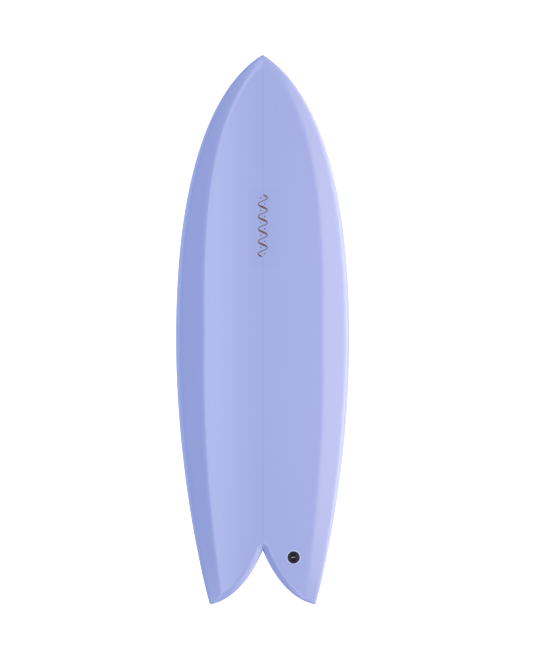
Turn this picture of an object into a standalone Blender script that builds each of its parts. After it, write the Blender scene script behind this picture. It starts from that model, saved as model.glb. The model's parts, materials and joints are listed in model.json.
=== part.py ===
"""Twin-keel fish surfboard, resting deck up on its fins and belly.

A foam blank in two halves is glued to a wooden stringer and wrapped in a deck and a bottom laminate. A leash
cup with its steel pin is let into the deck, and two fin boxes with grub screws into the bottom. Each keel fin
pulls straight out of its box.

The board is designed level, in its own frame: x across it, y towards the nose from mid-length, z up from the
lowest point of the rocker. The empty "board" then lays it down as it rests, centred over the origin.
"""

import math

import bmesh
import bpy
import numpy as np
from mathutils import Matrix, Vector

# Outline, in metres and degrees. A reach is the length of a curve's handle at that end.
LENGTH = 1.6764
WIDTH = 0.5313
WIDE_POINT = -0.0241
NOSE_HALF_ANGLE = 59.36
NOSE_REACH = 0.1307
NOSE_FULLNESS = 0.5898
NOSE_ROUND = 0.006
TAIL_FULLNESS = 0.4332
TIP_X = 0.1614
TIP_ANGLE = 24.29
TIP_REACH = 0.0151
TIP_ROUND = 0.005
SWALLOW_DEPTH = 0.1646
NOTCH_HALF_ANGLE = 21.85
NOTCH_REACH = 0.0758
SWALLOW_TIP_ANGLE = 10.73
SWALLOW_TIP_REACH = 0.0815

# Rocker, thickness and cross-section.
ROCKER_LOW = -0.050
NOSE_ROCKER = 0.108
NOSE_ROCKER_POWER = 2.7
TAIL_ROCKER = 0.045
TAIL_ROCKER_POWER = 2.0
THICKNESS = 0.0635
THICKEST_POINT = 0.030
NOSE_THICKNESS = 0.012
TIP_THICKNESS = 0.012
NOSE_FOIL_POWER = 1.9
TAIL_FOIL_POWER = 2.2
DECK_CROWN = 0.005
BOTTOM_CONCAVE = 0.002

# Rails. The apex is the rail's outermost line. A band is the sloping facet between the rounded rail and the deck.
APEX_SHARE_MIDDLE = 0.38
APEX_SHARE_NOSE = 0.45
APEX_SHARE_TAIL = 0.33
BAND_MIDDLE = 0.0825
BAND_NOSE = 0.021
BAND_TAIL = 0.042
BAND_NOSE_POWER = 1.5
BAND_TAIL_POWER = 1.3
BAND_SHARE = 0.46
RIDGE_HALF_WIDTH = 0.009
RAIL_ROUND_MIDDLE = 0.020
RAIL_ROUND_END = 0.008
TUCK_MIDDLE = 0.045
TUCK_NOSE = 0.030
TUCK_TAIL = 0.012
SWALLOW_BAND = 0.018
SWALLOW_BAND_SHARE = 0.55
SWALLOW_ROUND = 0.007
SWALLOW_TUCK = 0.010
NOTCH_MITRE = 0.4

# Construction.
SKIN = 0.0010
GAP = 0.0003
STRINGER = 0.0032
BLANK_EASE = 0.0006
STRINGER_EASE = 0.0010

# Leash cup and pin.
CUP_X = 0.094
CUP_FROM_TAIL = 0.144
CUP_FLANGE_RADIUS = 0.019
CUP_FLANGE = 0.0020
CUP_BODY_RADIUS = 0.0155
CUP_DEPTH = 0.0190
CUP_EDGE = 0.0006
POCKET_WIDTH = 0.0130
POCKET_LENGTH = 0.0250
POCKET_CORNER = 0.0020
POCKET_FLOOR = 0.0030
PIN_RADIUS = 0.0024
PIN_SEAT = 0.0020
PIN_DEPTH = 0.0045

# Fin boxes and grub screws.
BOX_X = 0.166
BOX_FROM_TAIL = 0.258
TOE_IN = 2.5
BOX_LENGTH = 0.128
BOX_WIDTH = 0.026
BOX_FLANGE = 0.0020
BOX_RIM = 0.0020
BOX_DEPTH = 0.0170
SOCKET_FLOOR = 0.0020
TAB_SPACING = 0.074
TAB_LENGTH = 0.0254
TAB_THICKNESS = 0.0063
TAB_CORNER = 0.0030
TAB_REACH = 0.0140
TAB_ROOT = 0.0010
SCREW_RADIUS = 0.0021
SCREW_LENGTH = 0.0070
SCREW_TILT = 20.0
SCREW_SINK = 0.0005
SCREW_WALL = 0.0006
HEX_WIDTH = 0.0020
HEX_DEPTH = 0.0025

# Keel fins.
FIN_BASE = 0.162
FIN_DEPTH = 0.128
FIN_CANT = 4.0
FIN_BASE_THICKNESS = 0.0085
FIN_TIP_THICKNESS = 0.0032
FIN_EDGE = 0.0010
FIN_RAKE = 0.147
FIN_LEAD_REACH = 0.070
FIN_LEAD_ANGLE = 38.0
FIN_TIP_REACH = 0.056
FIN_TIP_CUT = 0.0010
FIN_CUTAWAY = (0.019, 0.050)
FIN_HEEL = (-0.040, -0.016)
FIN_THICKEST = 0.36
FIN_LIFT = 0.0005

# Fineness of the facets, and how they are spread.
CURVE_STEPS = 48
CORNER_STEPS = 6
RAIL_STEPS = np.array((0.12, 0.45, 1.0))
NOSE_ROWS = 20
TAIL_ROWS = 9
COLUMNS = 10
ROUND_STEPS = 28
SMALL_ROUND_STEPS = 12
FIN_LEVELS = 10
FIN_STEPS = 9
FULLEST_ROW = 0.85
LOBE_RUN_IN = 0.090
PROBE_STEP = 0.004
MOST_TILT = 30.0
TILT_TRIES = 40

HALF_LENGTH = LENGTH / 2
HALF_WIDTH = WIDTH / 2
NOTCH_Y = SWALLOW_DEPTH - HALF_LENGTH
BOX_Y = BOX_FROM_TAIL - HALF_LENGTH
CUP_Y = CUP_FROM_TAIL - HALF_LENGTH
SMOOTH_ANGLE = math.radians(35)
STRAIGHT_ROWS = NOSE_ROWS + 2 * len(RAIL_STEPS)

MATERIALS = {
    "laminate": ((0.42, 0.47, 0.81), 0.28, 0.0),
    "foam": ((0.82, 0.81, 0.76), 0.90, 0.0),
    "timber": ((0.55, 0.40, 0.24), 0.70, 0.0),
    "plug_plastic": ((0.010, 0.012, 0.028), 0.35, 0.0),
    "stainless": ((0.45, 0.43, 0.40), 0.30, 1.0),
    "box_plastic": ((0.60, 0.63, 0.72), 0.45, 0.0),
    "fin_composite": ((0.40, 0.45, 0.80), 0.25, 0.0),
}


# ---------------------------------------------------------------- plan shape

def polar(length, degrees_from_y):
    """A step of this length, turned clockwise from +y."""
    turn = math.radians(degrees_from_y)
    return np.array((length * math.sin(turn), length * math.cos(turn)))


def bezier(start, first, second, end):
    t = np.linspace(0, 1, CURVE_STEPS + 1)[:, None]
    return (
        (1 - t) ** 3 * start
        + 3 * (1 - t) ** 2 * t * first
        + 3 * (1 - t) * t**2 * second
        + t**3 * end
    )


def fillet(corner, towards_a, towards_b, radius):
    """The arc that rounds a corner between two unit directions, and its tangent length."""
    middle = towards_a + towards_b
    middle /= np.linalg.norm(middle)
    half = math.acos(np.clip(np.dot(towards_a, middle), -1, 1))
    tangent = radius / math.tan(half)
    centre = corner + middle * radius / math.sin(half)
    first = corner + towards_a * tangent - centre
    last = corner + towards_b * tangent - centre
    sweep = math.atan2(first[0] * last[1] - first[1] * last[0], np.dot(first, last))
    turns = [sweep * i / (2 * CORNER_STEPS) for i in range(2 * CORNER_STEPS + 1)]
    arc = [
        centre
        + (
            first[0] * math.cos(a) - first[1] * math.sin(a),
            first[0] * math.sin(a) + first[1] * math.cos(a),
        )
        for a in turns
    ]
    return np.array(arc), tangent


def trimmed(points, corner, tangent):
    return points[np.linalg.norm(points - corner, axis=1) > tangent]


def boundary():
    """The right-hand edge from the nose round the tail tip to the notch, and the index of the tip's middle."""
    nose_turn = math.radians(NOSE_HALF_ANGLE)
    nose_out = NOSE_ROUND / math.sin(nose_turn) - NOSE_ROUND
    nose = np.array((0.0, HALF_LENGTH + nose_out))
    wide = np.array((HALF_WIDTH, WIDE_POINT))
    along_outer = polar(1, TIP_ANGLE)
    along_inner = polar(1, SWALLOW_TIP_ANGLE - 90)
    middle = (along_outer + along_inner) / np.linalg.norm(along_outer + along_inner)
    half = math.acos(np.dot(along_outer, middle))
    tip_out = TIP_ROUND * (1 - middle[1] / math.sin(half))
    tip = np.array((TIP_X, -HALF_LENGTH + tip_out))
    notch = np.array((0.0, NOTCH_Y))
    front = bezier(
        nose,
        nose + polar(NOSE_REACH, 180 - NOSE_HALF_ANGLE),
        wide + (0, NOSE_FULLNESS),
        wide,
    )
    back = bezier(
        wide, wide - (0, TAIL_FULLNESS), tip + TIP_REACH * along_outer, tip
    )
    swallow = bezier(
        tip,
        tip + SWALLOW_TIP_REACH * along_inner,
        notch + polar(NOTCH_REACH, 180 - NOTCH_HALF_ANGLE),
        notch,
    )
    right = polar(1, 180 - NOSE_HALF_ANGLE)
    nose_arc, nose_cut = fillet(nose, right * (-1, 1), right, NOSE_ROUND)
    tip_arc, tip_cut = fillet(tip, along_outer, along_inner, TIP_ROUND)
    outer = np.concatenate((
        nose_arc[CORNER_STEPS:],
        trimmed(front, nose, nose_cut),
        trimmed(back[1:], tip, tip_cut),
        tip_arc[: CORNER_STEPS + 1],
    ))
    inner = np.concatenate((
        tip_arc[CORNER_STEPS + 1 :],
        trimmed(swallow, tip, tip_cut),
    ))
    return np.concatenate((outer, inner)), len(outer) - 1


def inset_boundary(inset, side):
    """The edge moved inwards by inset and cut at x = side, as outer and swallow lines that end at the tip."""
    points, tip = boundary()
    steps = np.diff(points, axis=0)
    normals = np.stack((steps[:, 1], -steps[:, 0]), axis=1)
    normals /= np.linalg.norm(normals, axis=1)[:, None]
    at = np.concatenate((normals[:1], normals[:-1] + normals[1:], normals[-1:]))
    at[0, 0] = 0.0
    at /= np.linalg.norm(at, axis=1)[:, None]
    mitre = np.ones(len(at))
    mitre[1:-1] = 1 / (at[1:-1] * normals[1:]).sum(axis=1)
    moved = points + inset * at * mitre[:, None]
    outer, swallow = moved[: tip + 1], moved[tip:][::-1]
    first = int(np.argmax(outer[:, 0] > side))
    start = crossing(outer[first - 1], outer[first], side)
    outer = np.concatenate(([start], outer[first:]))
    first = int(np.argmax(swallow[:, 0] > side + GAP))
    start = crossing(swallow[first], swallow[first + 1], side)
    swallow = np.concatenate(([start], swallow[first:]))
    return outer, swallow


def crossing(a, b, side):
    return a + (b - a) * (side - a[0]) / (b[0] - a[0])


def distance(points, line):
    """Distance from each point to a polyline, and whether its nearest place is the line's start."""
    a, b = line[:-1], line[1:]
    along = b - a
    rel = points[:, None] - a[None]
    t = (rel * along).sum(axis=2) / (along**2).sum(axis=1)
    t = np.clip(t, 0, 1)
    gaps = np.linalg.norm(rel - t[..., None] * along, axis=2)
    nearest = gaps.argmin(axis=1)
    rows = np.arange(len(points))
    return gaps[rows, nearest], (nearest == 0) & (t[rows, nearest] == 0)


def edge_distances(points, outer, swallow):
    """Distances to the outer edge and to the swallow, whose corner is partly mitred ahead of the notch."""
    to_outer, _ = distance(points, outer)
    to_swallow, ahead = distance(points, swallow)
    along = (swallow[1] - swallow[0]) / np.linalg.norm(swallow[1] - swallow[0])
    rel = points - swallow[0]
    mitred = np.abs(rel[:, 0] * along[1] - rel[:, 1] * along[0])
    blend = NOTCH_MITRE * mitred + (1 - NOTCH_MITRE) * to_swallow
    return to_outer, np.where(ahead, blend, to_swallow)


def along_line(line, fractions):
    """Points at these fractions of a polyline's length."""
    run = np.concatenate(([0], np.cumsum(np.linalg.norm(np.diff(line, axis=0), axis=1))))
    return np.stack([np.interp(fractions * run[-1], run, line[:, i]) for i in (0, 1)], axis=1)


def eased(steps):
    """Fractions from 0 to 1 that crowd together at both ends."""
    return (1 - np.cos(np.linspace(0, math.pi, steps + 1))) / 2


def stations(top, notch):
    """The y of each straight row, with extra ones where the rails turn over at the nose and the notch."""
    turn = math.radians(NOTCH_HALF_ANGLE)
    at_nose = rail_round(top) * RAIL_STEPS / math.sin(math.radians(NOSE_HALF_ANGLE))
    at_notch = SWALLOW_ROUND * RAIL_STEPS / (NOTCH_MITRE * math.sin(turn) + 1 - NOTCH_MITRE)
    first, last = top - at_nose[-1], notch + at_notch[-1]
    middle = first + (last - first) * eased(NOSE_ROWS)
    return np.concatenate(([top], top - at_nose[:-1], middle, notch + at_notch[-2::-1], [notch]))


def row_ends(outer, swallow):
    """The inner and the outer end of each row of the plan grid, from the nose to the tail tip."""
    top, notch = outer[0, 1], swallow[0]
    body = stations(top, notch[1])
    widths = np.interp(-body, -outer[:, 1], outer[:, 0])
    body_inner = np.stack((np.full(len(body), notch[0]), body), axis=1)
    body_outer = np.stack((widths, body), axis=1)
    body_outer[0] = body_inner[0] = outer[0]
    rest = np.concatenate(([body_outer[-1]], outer[outer[:, 1] < notch[1] - GAP]))
    part = eased(TAIL_ROWS)[1:]
    inner = np.concatenate((body_inner, along_line(swallow, part)))
    return inner, np.concatenate((body_outer, along_line(rest, part)))


def column_fractions(width, y):
    """Where a row's points lie, from its inner end, 0, to its outer end, 1, closer together on the rails."""
    ridge, rounded = band(y), rail_round(y)
    turned = (0.0, *(RAIL_STEPS * rounded))
    near = np.array((*turned, ridge - RIDGE_HALF_WIDTH, ridge + RIDGE_HALF_WIDTH))
    near *= min(1.0, FULLEST_ROW * width / near[-1])
    far = np.linspace(0, width - near[-1], COLUMNS - len(near) + 2)[:-1]
    body = np.concatenate((far, width - near[::-1]))
    lobe_near = np.array((*turned, ridge))
    lobe_far = np.array((0.0, *(RAIL_STEPS * SWALLOW_ROUND), SWALLOW_BAND))
    scale = min(1.0, FULLEST_ROW * width / (lobe_near[-1] + lobe_far[-1]))
    lobe_near, lobe_far = lobe_near * scale, lobe_far * scale
    middle = (lobe_far[-1] + width - lobe_near[-1]) / 2
    lobe = np.concatenate((lobe_far, [middle], width - lobe_near[::-1]))
    share = np.clip((NOTCH_Y + LOBE_RUN_IN - y) / LOBE_RUN_IN, 0, 1)
    share = share**2 * (3 - 2 * share)
    return (body * (1 - share) + lobe * share) / width


def plan_grid(inset, side):
    """Rows of plan points, with each one's distance to both edges. The first and the last row are one point each."""
    outer, swallow = inset_boundary(inset, side)
    inner_ends, outer_ends = row_ends(outer, swallow)
    rows = [outer[:1]]
    for a, b in zip(inner_ends[1:-1], outer_ends[1:-1]):
        t = column_fractions(np.linalg.norm(b - a), (a[1] + b[1]) / 2)
        rows.append(a + (b - a) * t[:, None])
    rows.append(outer[-1:])
    flat = np.concatenate(rows)
    to_outer, to_swallow = edge_distances(flat, *inset_boundary(inset, 0.0))
    split = np.cumsum([len(row) for row in rows])[:-1]
    grid = []
    for row, d_out, d_in in zip(rows, np.split(to_outer, split), np.split(to_swallow, split)):
        d_out[-1] = 0.0
        if row[0, 1] < swallow[0, 1] + GAP:
            d_in[0] = 0.0
        grid.append((row, d_out, d_in))
    return grid


# ---------------------------------------------------------------- profile and section

def end_share(y, middle):
    """0 at the middle station, 1 at the nose or the tail tips."""
    return np.where(
        y > middle, (y - middle) / (HALF_LENGTH - middle), (middle - y) / (HALF_LENGTH + middle)
    ).clip(0, 1)


def by_station(y, middle, at_middle, at_nose, at_tail, nose_power, tail_power):
    s = end_share(y, middle)
    nose = at_nose + (at_middle - at_nose) * (1 - s**nose_power)
    tail = at_tail + (at_middle - at_tail) * (1 - s**tail_power)
    return np.where(y > middle, nose, tail)


def rocker(y):
    return by_station(
        y, ROCKER_LOW, 0.0, NOSE_ROCKER, TAIL_ROCKER, NOSE_ROCKER_POWER, TAIL_ROCKER_POWER
    )


def thickness(y):
    return by_station(
        y, THICKEST_POINT, THICKNESS, NOSE_THICKNESS, TIP_THICKNESS, NOSE_FOIL_POWER, TAIL_FOIL_POWER
    )


def band(y):
    return by_station(
        y, WIDE_POINT, BAND_MIDDLE, BAND_NOSE, BAND_TAIL, BAND_NOSE_POWER, BAND_TAIL_POWER
    )


def rail_round(y):
    return by_station(y, 0.0, RAIL_ROUND_MIDDLE, RAIL_ROUND_END, RAIL_ROUND_END, 2, 2)


def tuck(y):
    return by_station(y, 0.0, TUCK_MIDDLE, TUCK_NOSE, TUCK_TAIL, 2, 1.5)


def apex(y):
    share = by_station(y, 0.0, APEX_SHARE_MIDDLE, APEX_SHARE_NOSE, APEX_SHARE_TAIL, 2, 2)
    return rocker(y) + share * thickness(y)


def soft_min(a, b, softness):
    k = np.maximum(np.minimum(softness, (a + b) / 2), 1e-9)
    return np.minimum(a, b) - np.maximum(k - np.abs(a - b), 0) ** 2 / (4 * k)


def quarter_round(d, radius):
    return np.sqrt(np.maximum(1 - (1 - np.clip(d / radius, 0, 1)) ** 2, 0))


def flank(d, full, radius, width, share):
    """Height above the apex at distance d from an edge: a rounded rail running into the straight band."""
    return share * full * quarter_round(d, radius) + (1 - share) * full * d / width


def deck_z(points, d_out, d_in, inset):
    x, y = points[:, 0], points[:, 1]
    top = rocker(y) + thickness(y) - DECK_CROWN * (x / HALF_WIDTH) ** 2 - inset
    full = top - apex(y)
    outside = flank(d_out, full, rail_round(y), band(y), BAND_SHARE)
    inside = flank(d_in, full, SWALLOW_ROUND, SWALLOW_BAND, SWALLOW_BAND_SHARE)
    slope = (1 - BAND_SHARE) * full / band(y)
    rails = soft_min(outside, inside, slope * RIDGE_HALF_WIDTH)
    return apex(y) + soft_min(rails, full, slope * RIDGE_HALF_WIDTH)


def bottom_z(points, d_out, d_in, inset):
    x, y = points[:, 0], points[:, 1]
    hollow = BOTTOM_CONCAVE * (1 - end_share(y, 0.0) ** 2) * (x / HALF_WIDTH) ** 2
    full = apex(y) - rocker(y) + hollow - inset
    reach = np.minimum(d_out / tuck(y), d_in / SWALLOW_TUCK)
    return apex(y) - full * quarter_round(reach, 1.0)


def surface_frame(x, y, height, outwards):
    """Where a fitting meets the hull: its origin there, y towards the nose, z straight out of the board."""
    outer, swallow = inset_boundary(0.0, 0.0)
    side = math.copysign(1, x)
    probes = np.array(((abs(x), y), (abs(x) + PROBE_STEP, y), (abs(x), y + PROBE_STEP)))
    z = height(probes, *edge_distances(probes, outer, swallow), 0.0)
    across = Vector((PROBE_STEP, 0, side * (z[1] - z[0])))
    along = Vector((0, PROBE_STEP, z[2] - z[0])).normalized()
    normal = (across.cross(along)).normalized() * outwards
    right = along.cross(normal)
    frame = Matrix((right, along, normal)).transposed().to_4x4()
    return Matrix.Translation((x, y, z[0])) @ frame


# ---------------------------------------------------------------- mesh helpers

def material_of(slot):
    made = bpy.data.materials.get(slot)
    if made:
        return made
    colour, roughness, metallic = MATERIALS[slot]
    made = bpy.data.materials.new(slot)
    made.use_nodes = True
    shader = made.node_tree.nodes["Principled BSDF"]
    shader.inputs["Base Color"].default_value = (*colour, 1.0)
    shader.inputs["Roughness"].default_value = roughness
    shader.inputs["Metallic"].default_value = metallic
    made.diffuse_color = (*colour, 1.0)
    return made


def finished(name, bm, slot, board, place=None):
    """Makes the bmesh an object on the board, with its faces outwards."""
    bmesh.ops.remove_doubles(bm, verts=bm.verts, dist=1e-6)
    bmesh.ops.recalc_face_normals(bm, faces=bm.faces)
    mesh = bpy.data.meshes.new(name)
    bm.to_mesh(mesh)
    bm.free()
    mesh.shade_smooth()
    mesh.set_sharp_from_angle(angle=SMOOTH_ANGLE)
    obj = bpy.data.objects.new(name, mesh)
    bpy.context.scene.collection.objects.link(obj)
    obj.parent = board
    if place is not None:
        obj.location = place.to_translation()
        obj.rotation_euler = place.to_euler()
    if slot:
        mesh.materials.append(material_of(slot))
    else:
        obj.hide_render = True
        obj.display_type = "WIRE"
    return obj


def stack(rings):
    """A closed bmesh through rings of equally many points, capped at both ends."""
    bm = bmesh.new()
    loops = [[bm.verts.new(point) for point in ring] for ring in rings]
    for low, high in zip(loops, loops[1:]):
        for i in range(len(low)):
            j = (i + 1) % len(low)
            bm.faces.new((low[i], low[j], high[j], high[i]))
    bm.faces.new(loops[0])
    bm.faces.new(loops[-1])
    return bm


def rounded_ring(length, width, corner, z, steps=CORNER_STEPS):
    """A rectangle with round corners, long in y."""
    ring = []
    for quarter in range(4):
        sx, sy = ((1, 1), (-1, 1), (-1, -1), (1, -1))[quarter]
        centre = (sx * (width / 2 - corner), sy * (length / 2 - corner))
        for i in range(steps + 1):
            turn = math.pi / 2 * (quarter + i / steps)
            ring.append((
                centre[0] + corner * math.cos(turn), centre[1] + corner * math.sin(turn), z
            ))
    return ring


def slot_ring(length, width, z):
    return rounded_ring(length, width, width / 2 - GAP / 2, z)


def circle_ring(radius, z, steps):
    return [
        (radius * math.cos(math.tau * i / steps), radius * math.sin(math.tau * i / steps), z)
        for i in range(steps)
    ]


def hexagon_ring(width, z, steps):
    """A hexagon of this width across its flats, with as many points as a circle of these steps."""
    ring = []
    for i in range(steps):
        turn = math.tau * i / steps
        off = (turn % (math.tau / 6)) - math.tau / 12
        radius = width / 2 / math.cos(off)
        ring.append((radius * math.cos(turn), radius * math.sin(turn), z))
    return ring


def boolean(target, other, operation):
    made = target.modifiers.new(other.name, "BOOLEAN")
    made.operation = operation
    made.solver = "EXACT"
    made.object = other


# ---------------------------------------------------------------- hull

def grid_vertices(bm, grid, height, inset, lift):
    """One row of vertices for each row of the grid."""
    rows = []
    for points, d_out, d_in in grid:
        z = height(points, d_out, d_in, inset) + lift
        rows.append([bm.verts.new((x, y, h)) for (x, y), h in zip(points, z)])
    return rows


def grid_faces(bm, rows):
    for upper, lower in zip(rows, rows[1:]):
        for k in range(max(len(upper), len(lower)) - 1):
            corners = [upper[min(k, len(upper) - 1)], upper[min(k + 1, len(upper) - 1)]]
            corners += [lower[min(k + 1, len(lower) - 1)], lower[min(k, len(lower) - 1)]]
            bm.faces.new(list(dict.fromkeys(corners)))


def edge_strip(bm, rows_a, rows_b, end, first=0):
    """Joins two grids of one pattern along their inner, 0, or outer, -1, ends, from row first on."""
    pairs = list(zip(rows_a, rows_b))[first:]
    for (a, b), (c, d) in zip(pairs, pairs[1:]):
        bm.faces.new(list(dict.fromkeys((a[end], b[end], d[end], c[end]))))


def skin(name, board, height, lift):
    """A laminate: the hull's outer surface, the same surface inset by the laminate, and the rim between them."""
    bm = bmesh.new()
    outside = grid_vertices(bm, plan_grid(0.0, 0.0), height, 0.0, lift)
    inside = grid_vertices(bm, plan_grid(SKIN, 0.0), height, SKIN, lift)
    grid_faces(bm, outside)
    grid_faces(bm, inside)
    edge_strip(bm, outside, inside, -1)
    edge_strip(bm, outside, inside, 0, STRAIGHT_ROWS)
    half = bm.verts[:] + bm.edges[:] + bm.faces[:]
    bmesh.ops.mirror(bm, geom=half, axis="X", merge_dist=GAP / 10)
    return finished(name, bm, "laminate", board)


def blank(name, board, side):
    """One half of the foam, inside the laminates and beside the stringer."""
    bm = bmesh.new()
    inset = SKIN + GAP + BLANK_EASE
    grid = plan_grid(inset, STRINGER / 2 + GAP)
    top = grid_vertices(bm, grid, deck_z, inset, 0.0)
    base = grid_vertices(bm, grid, bottom_z, inset, 0.0)
    grid_faces(bm, top)
    grid_faces(bm, base)
    edge_strip(bm, top, base, 0)
    bmesh.ops.scale(bm, vec=(side, 1, 1), verts=bm.verts)
    return finished(name, bm, "foam", board)


def stringer(board):
    """The wooden spine, as deep as the foam, from near the nose to near the notch."""
    inset = SKIN + GAP + STRINGER_EASE
    half = STRINGER / 2
    rings = []
    for points, d_out, d_in in plan_grid(inset, 0.0)[1:STRAIGHT_ROWS]:
        here = points[:1], d_out[:1], d_in[:1], inset
        y, top, base = points[0, 1], deck_z(*here)[0], bottom_z(*here)[0]
        rings.append(((-half, y, base), (half, y, base), (half, y, top), (-half, y, top)))
    return finished("stringer", stack(rings), "timber", board)


# ---------------------------------------------------------------- leash cup

def leash_cup(board, place):
    """A round flanged cup, with a slot-shaped pocket and a steel pin across it."""
    rim = CUP_FLANGE_RADIUS
    body = stack((
        circle_ring(rim - CUP_EDGE, 0, ROUND_STEPS),
        circle_ring(rim, -CUP_EDGE, ROUND_STEPS),
        circle_ring(rim, -CUP_FLANGE, ROUND_STEPS),
        circle_ring(CUP_BODY_RADIUS, -CUP_FLANGE, ROUND_STEPS),
        circle_ring(CUP_BODY_RADIUS, -CUP_DEPTH, ROUND_STEPS),
    ))
    cup = finished("leash_cup", body, "plug_plastic", board, place)
    pocket = stack((
        rounded_ring(POCKET_LENGTH, POCKET_WIDTH, POCKET_CORNER, CUP_FLANGE),
        rounded_ring(POCKET_LENGTH, POCKET_WIDTH, POCKET_CORNER, POCKET_FLOOR - CUP_DEPTH),
    ))
    half = POCKET_WIDTH / 2 + PIN_SEAT
    hole = cross_bar(PIN_RADIUS + GAP, half + GAP)
    boolean(cup, finished("leash_pocket_cut", pocket, None, board, place), "DIFFERENCE")
    boolean(cup, finished("leash_pin_cut", hole, None, board, place), "DIFFERENCE")
    finished("leash_pin", cross_bar(PIN_RADIUS, half), "stainless", board, place)


def cross_bar(radius, half):
    """A rod across the cup at the pin's depth."""
    return stack([
        [(x, v, u - PIN_DEPTH) for u, v, _ in circle_ring(radius, 0, SMALL_ROUND_STEPS)]
        for x in (-half, half)
    ])


def cup_recess(board, place):
    """The hole that the cup sits in, through the deck laminate and into the foam."""
    rings = (
        circle_ring(CUP_FLANGE_RADIUS + GAP, CUP_DEPTH, ROUND_STEPS),
        circle_ring(CUP_FLANGE_RADIUS + GAP, -CUP_FLANGE - GAP, ROUND_STEPS),
        circle_ring(CUP_BODY_RADIUS + GAP, -CUP_FLANGE - GAP, ROUND_STEPS),
        circle_ring(CUP_BODY_RADIUS + GAP, -CUP_DEPTH - GAP, ROUND_STEPS),
    )
    return finished("cup_recess_cut", stack(rings), None, board, place)


# ---------------------------------------------------------------- fin boxes and screws

def box_body_width():
    """The box below its flange, never so narrow that a screw's hole breaks through its side."""
    tilt = math.radians(SCREW_TILT)
    tip_x, tip_z = screw_tip()
    hole_side = tip_x - (BOX_FLANGE + tip_z) * math.tan(tilt) + (SCREW_RADIUS + GAP) / math.cos(tilt)
    return max(BOX_WIDTH - 2 * BOX_RIM, 2 * (hole_side + SCREW_WALL))


def box_rings(spare, top):
    """A flanged slot-shaped body, grown by spare all round, from top down."""
    outline = BOX_LENGTH + 2 * spare, BOX_WIDTH + 2 * spare
    inner = BOX_LENGTH - 2 * BOX_RIM + 2 * spare, box_body_width() + 2 * spare
    return (
        slot_ring(*outline, top),
        slot_ring(*outline, -BOX_FLANGE - spare),
        slot_ring(*inner, -BOX_FLANGE - spare),
        slot_ring(*inner, -BOX_DEPTH - spare),
    )


def screw_tip():
    """Where a grub screw's tip lies across and below the box's face, a gap short of the tab's flank."""
    tilt = math.radians(SCREW_TILT)
    tip_x = TAB_THICKNESS / 2 + GAP + SCREW_RADIUS * math.cos(tilt)
    return tip_x, -SCREW_SINK - SCREW_LENGTH * math.cos(tilt)


def screw_place(place, side, tab_y):
    """A grub screw's frame on the box, z out of its hole."""
    tip_x, tip_z = screw_tip()
    lean = Matrix.Rotation(side * math.radians(SCREW_TILT), 4, "Y")
    return place @ Matrix.Translation((side * tip_x, tab_y, tip_z)) @ lean


def fin_box(board, name, place, side):
    """The box with its two sockets, and a grub screw beside each."""
    box = finished(f"fin_box_{name}", stack(box_rings(0.0, 0.0)), "box_plastic", board, place)
    grown = TAB_LENGTH + 2 * GAP, TAB_THICKNESS + 2 * GAP
    for end, tab_y in (("front", TAB_SPACING / 2), ("rear", -TAB_SPACING / 2)):
        socket = stack((
            slot_ring(*grown, BOX_FLANGE),
            slot_ring(*grown, SOCKET_FLOOR - BOX_DEPTH),
        ))
        at = place @ Matrix.Translation((0, tab_y, 0))
        boolean(box, finished(f"socket_cut_{name}_{end}", socket, None, board, at), "DIFFERENCE")
        hole = stack((
            circle_ring(SCREW_RADIUS + GAP, -SCREW_RADIUS, SMALL_ROUND_STEPS),
            circle_ring(SCREW_RADIUS + GAP, SCREW_LENGTH * 2, SMALL_ROUND_STEPS),
        ))
        at = screw_place(place, side, tab_y)
        boolean(box, finished(f"screw_cut_{name}_{end}", hole, None, board, at), "DIFFERENCE")
        screw = stack((
            circle_ring(SCREW_RADIUS, 0, SMALL_ROUND_STEPS),
            circle_ring(SCREW_RADIUS, SCREW_LENGTH, SMALL_ROUND_STEPS),
            hexagon_ring(HEX_WIDTH, SCREW_LENGTH, SMALL_ROUND_STEPS),
            hexagon_ring(HEX_WIDTH, SCREW_LENGTH - HEX_DEPTH, SMALL_ROUND_STEPS),
        ))
        finished(f"fin_screw_{name}_{end}", screw, "stainless", board, at)


def box_recess(board, name, place):
    """The hole that a fin box sits in, through the bottom laminate and into the foam."""
    return finished(f"box_recess_cut_{name}", stack(box_rings(GAP, BOX_DEPTH)), None, board, place)


# ---------------------------------------------------------------- keel fins

def fin_edges():
    """The leading and the trailing edge, each as y against depth from the base to the tip."""
    front, rear = np.array((FIN_BASE / 2, 0.0)), np.array((-FIN_BASE / 2, 0.0))
    lift = math.radians(FIN_LEAD_ANGLE)
    tip = np.array((FIN_BASE / 2 - FIN_RAKE, FIN_DEPTH))
    handle = FIN_LEAD_REACH * np.array((-math.sin(lift), math.cos(lift)))
    lead = bezier(front, front + handle, tip + (FIN_TIP_REACH, 0), tip)
    trail = bezier(rear, rear + FIN_CUTAWAY, tip + FIN_HEEL, tip)
    return lead, trail


def foil_ring(front, rear, z, side):
    """A section flat towards the stringer and foiled on the outer side, leaning outwards with depth."""
    share = z / FIN_DEPTH
    thick = FIN_BASE_THICKNESS * (1 - share) + FIN_TIP_THICKNESS * share
    lean = z * math.tan(math.radians(FIN_CANT)) - FIN_BASE_THICKNESS / 2
    foiled, flat = [], []
    for i in range(FIN_STEPS + 1):
        t = (1 - math.cos(math.pi * i / FIN_STEPS)) / 2
        rise = math.sqrt(1 - (1 - min(t / FIN_THICKEST, 1)) ** 2)
        fall = 1 - max((t - FIN_THICKEST) / (1 - FIN_THICKEST), 0) ** 2
        bulge = FIN_EDGE + (thick - FIN_EDGE) * rise * fall
        y = front + (rear - front) * t
        foiled.append((-side * (lean + bulge), y, z))
        flat.append((-side * lean, y, z))
    return foiled + flat[::-1]


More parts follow.
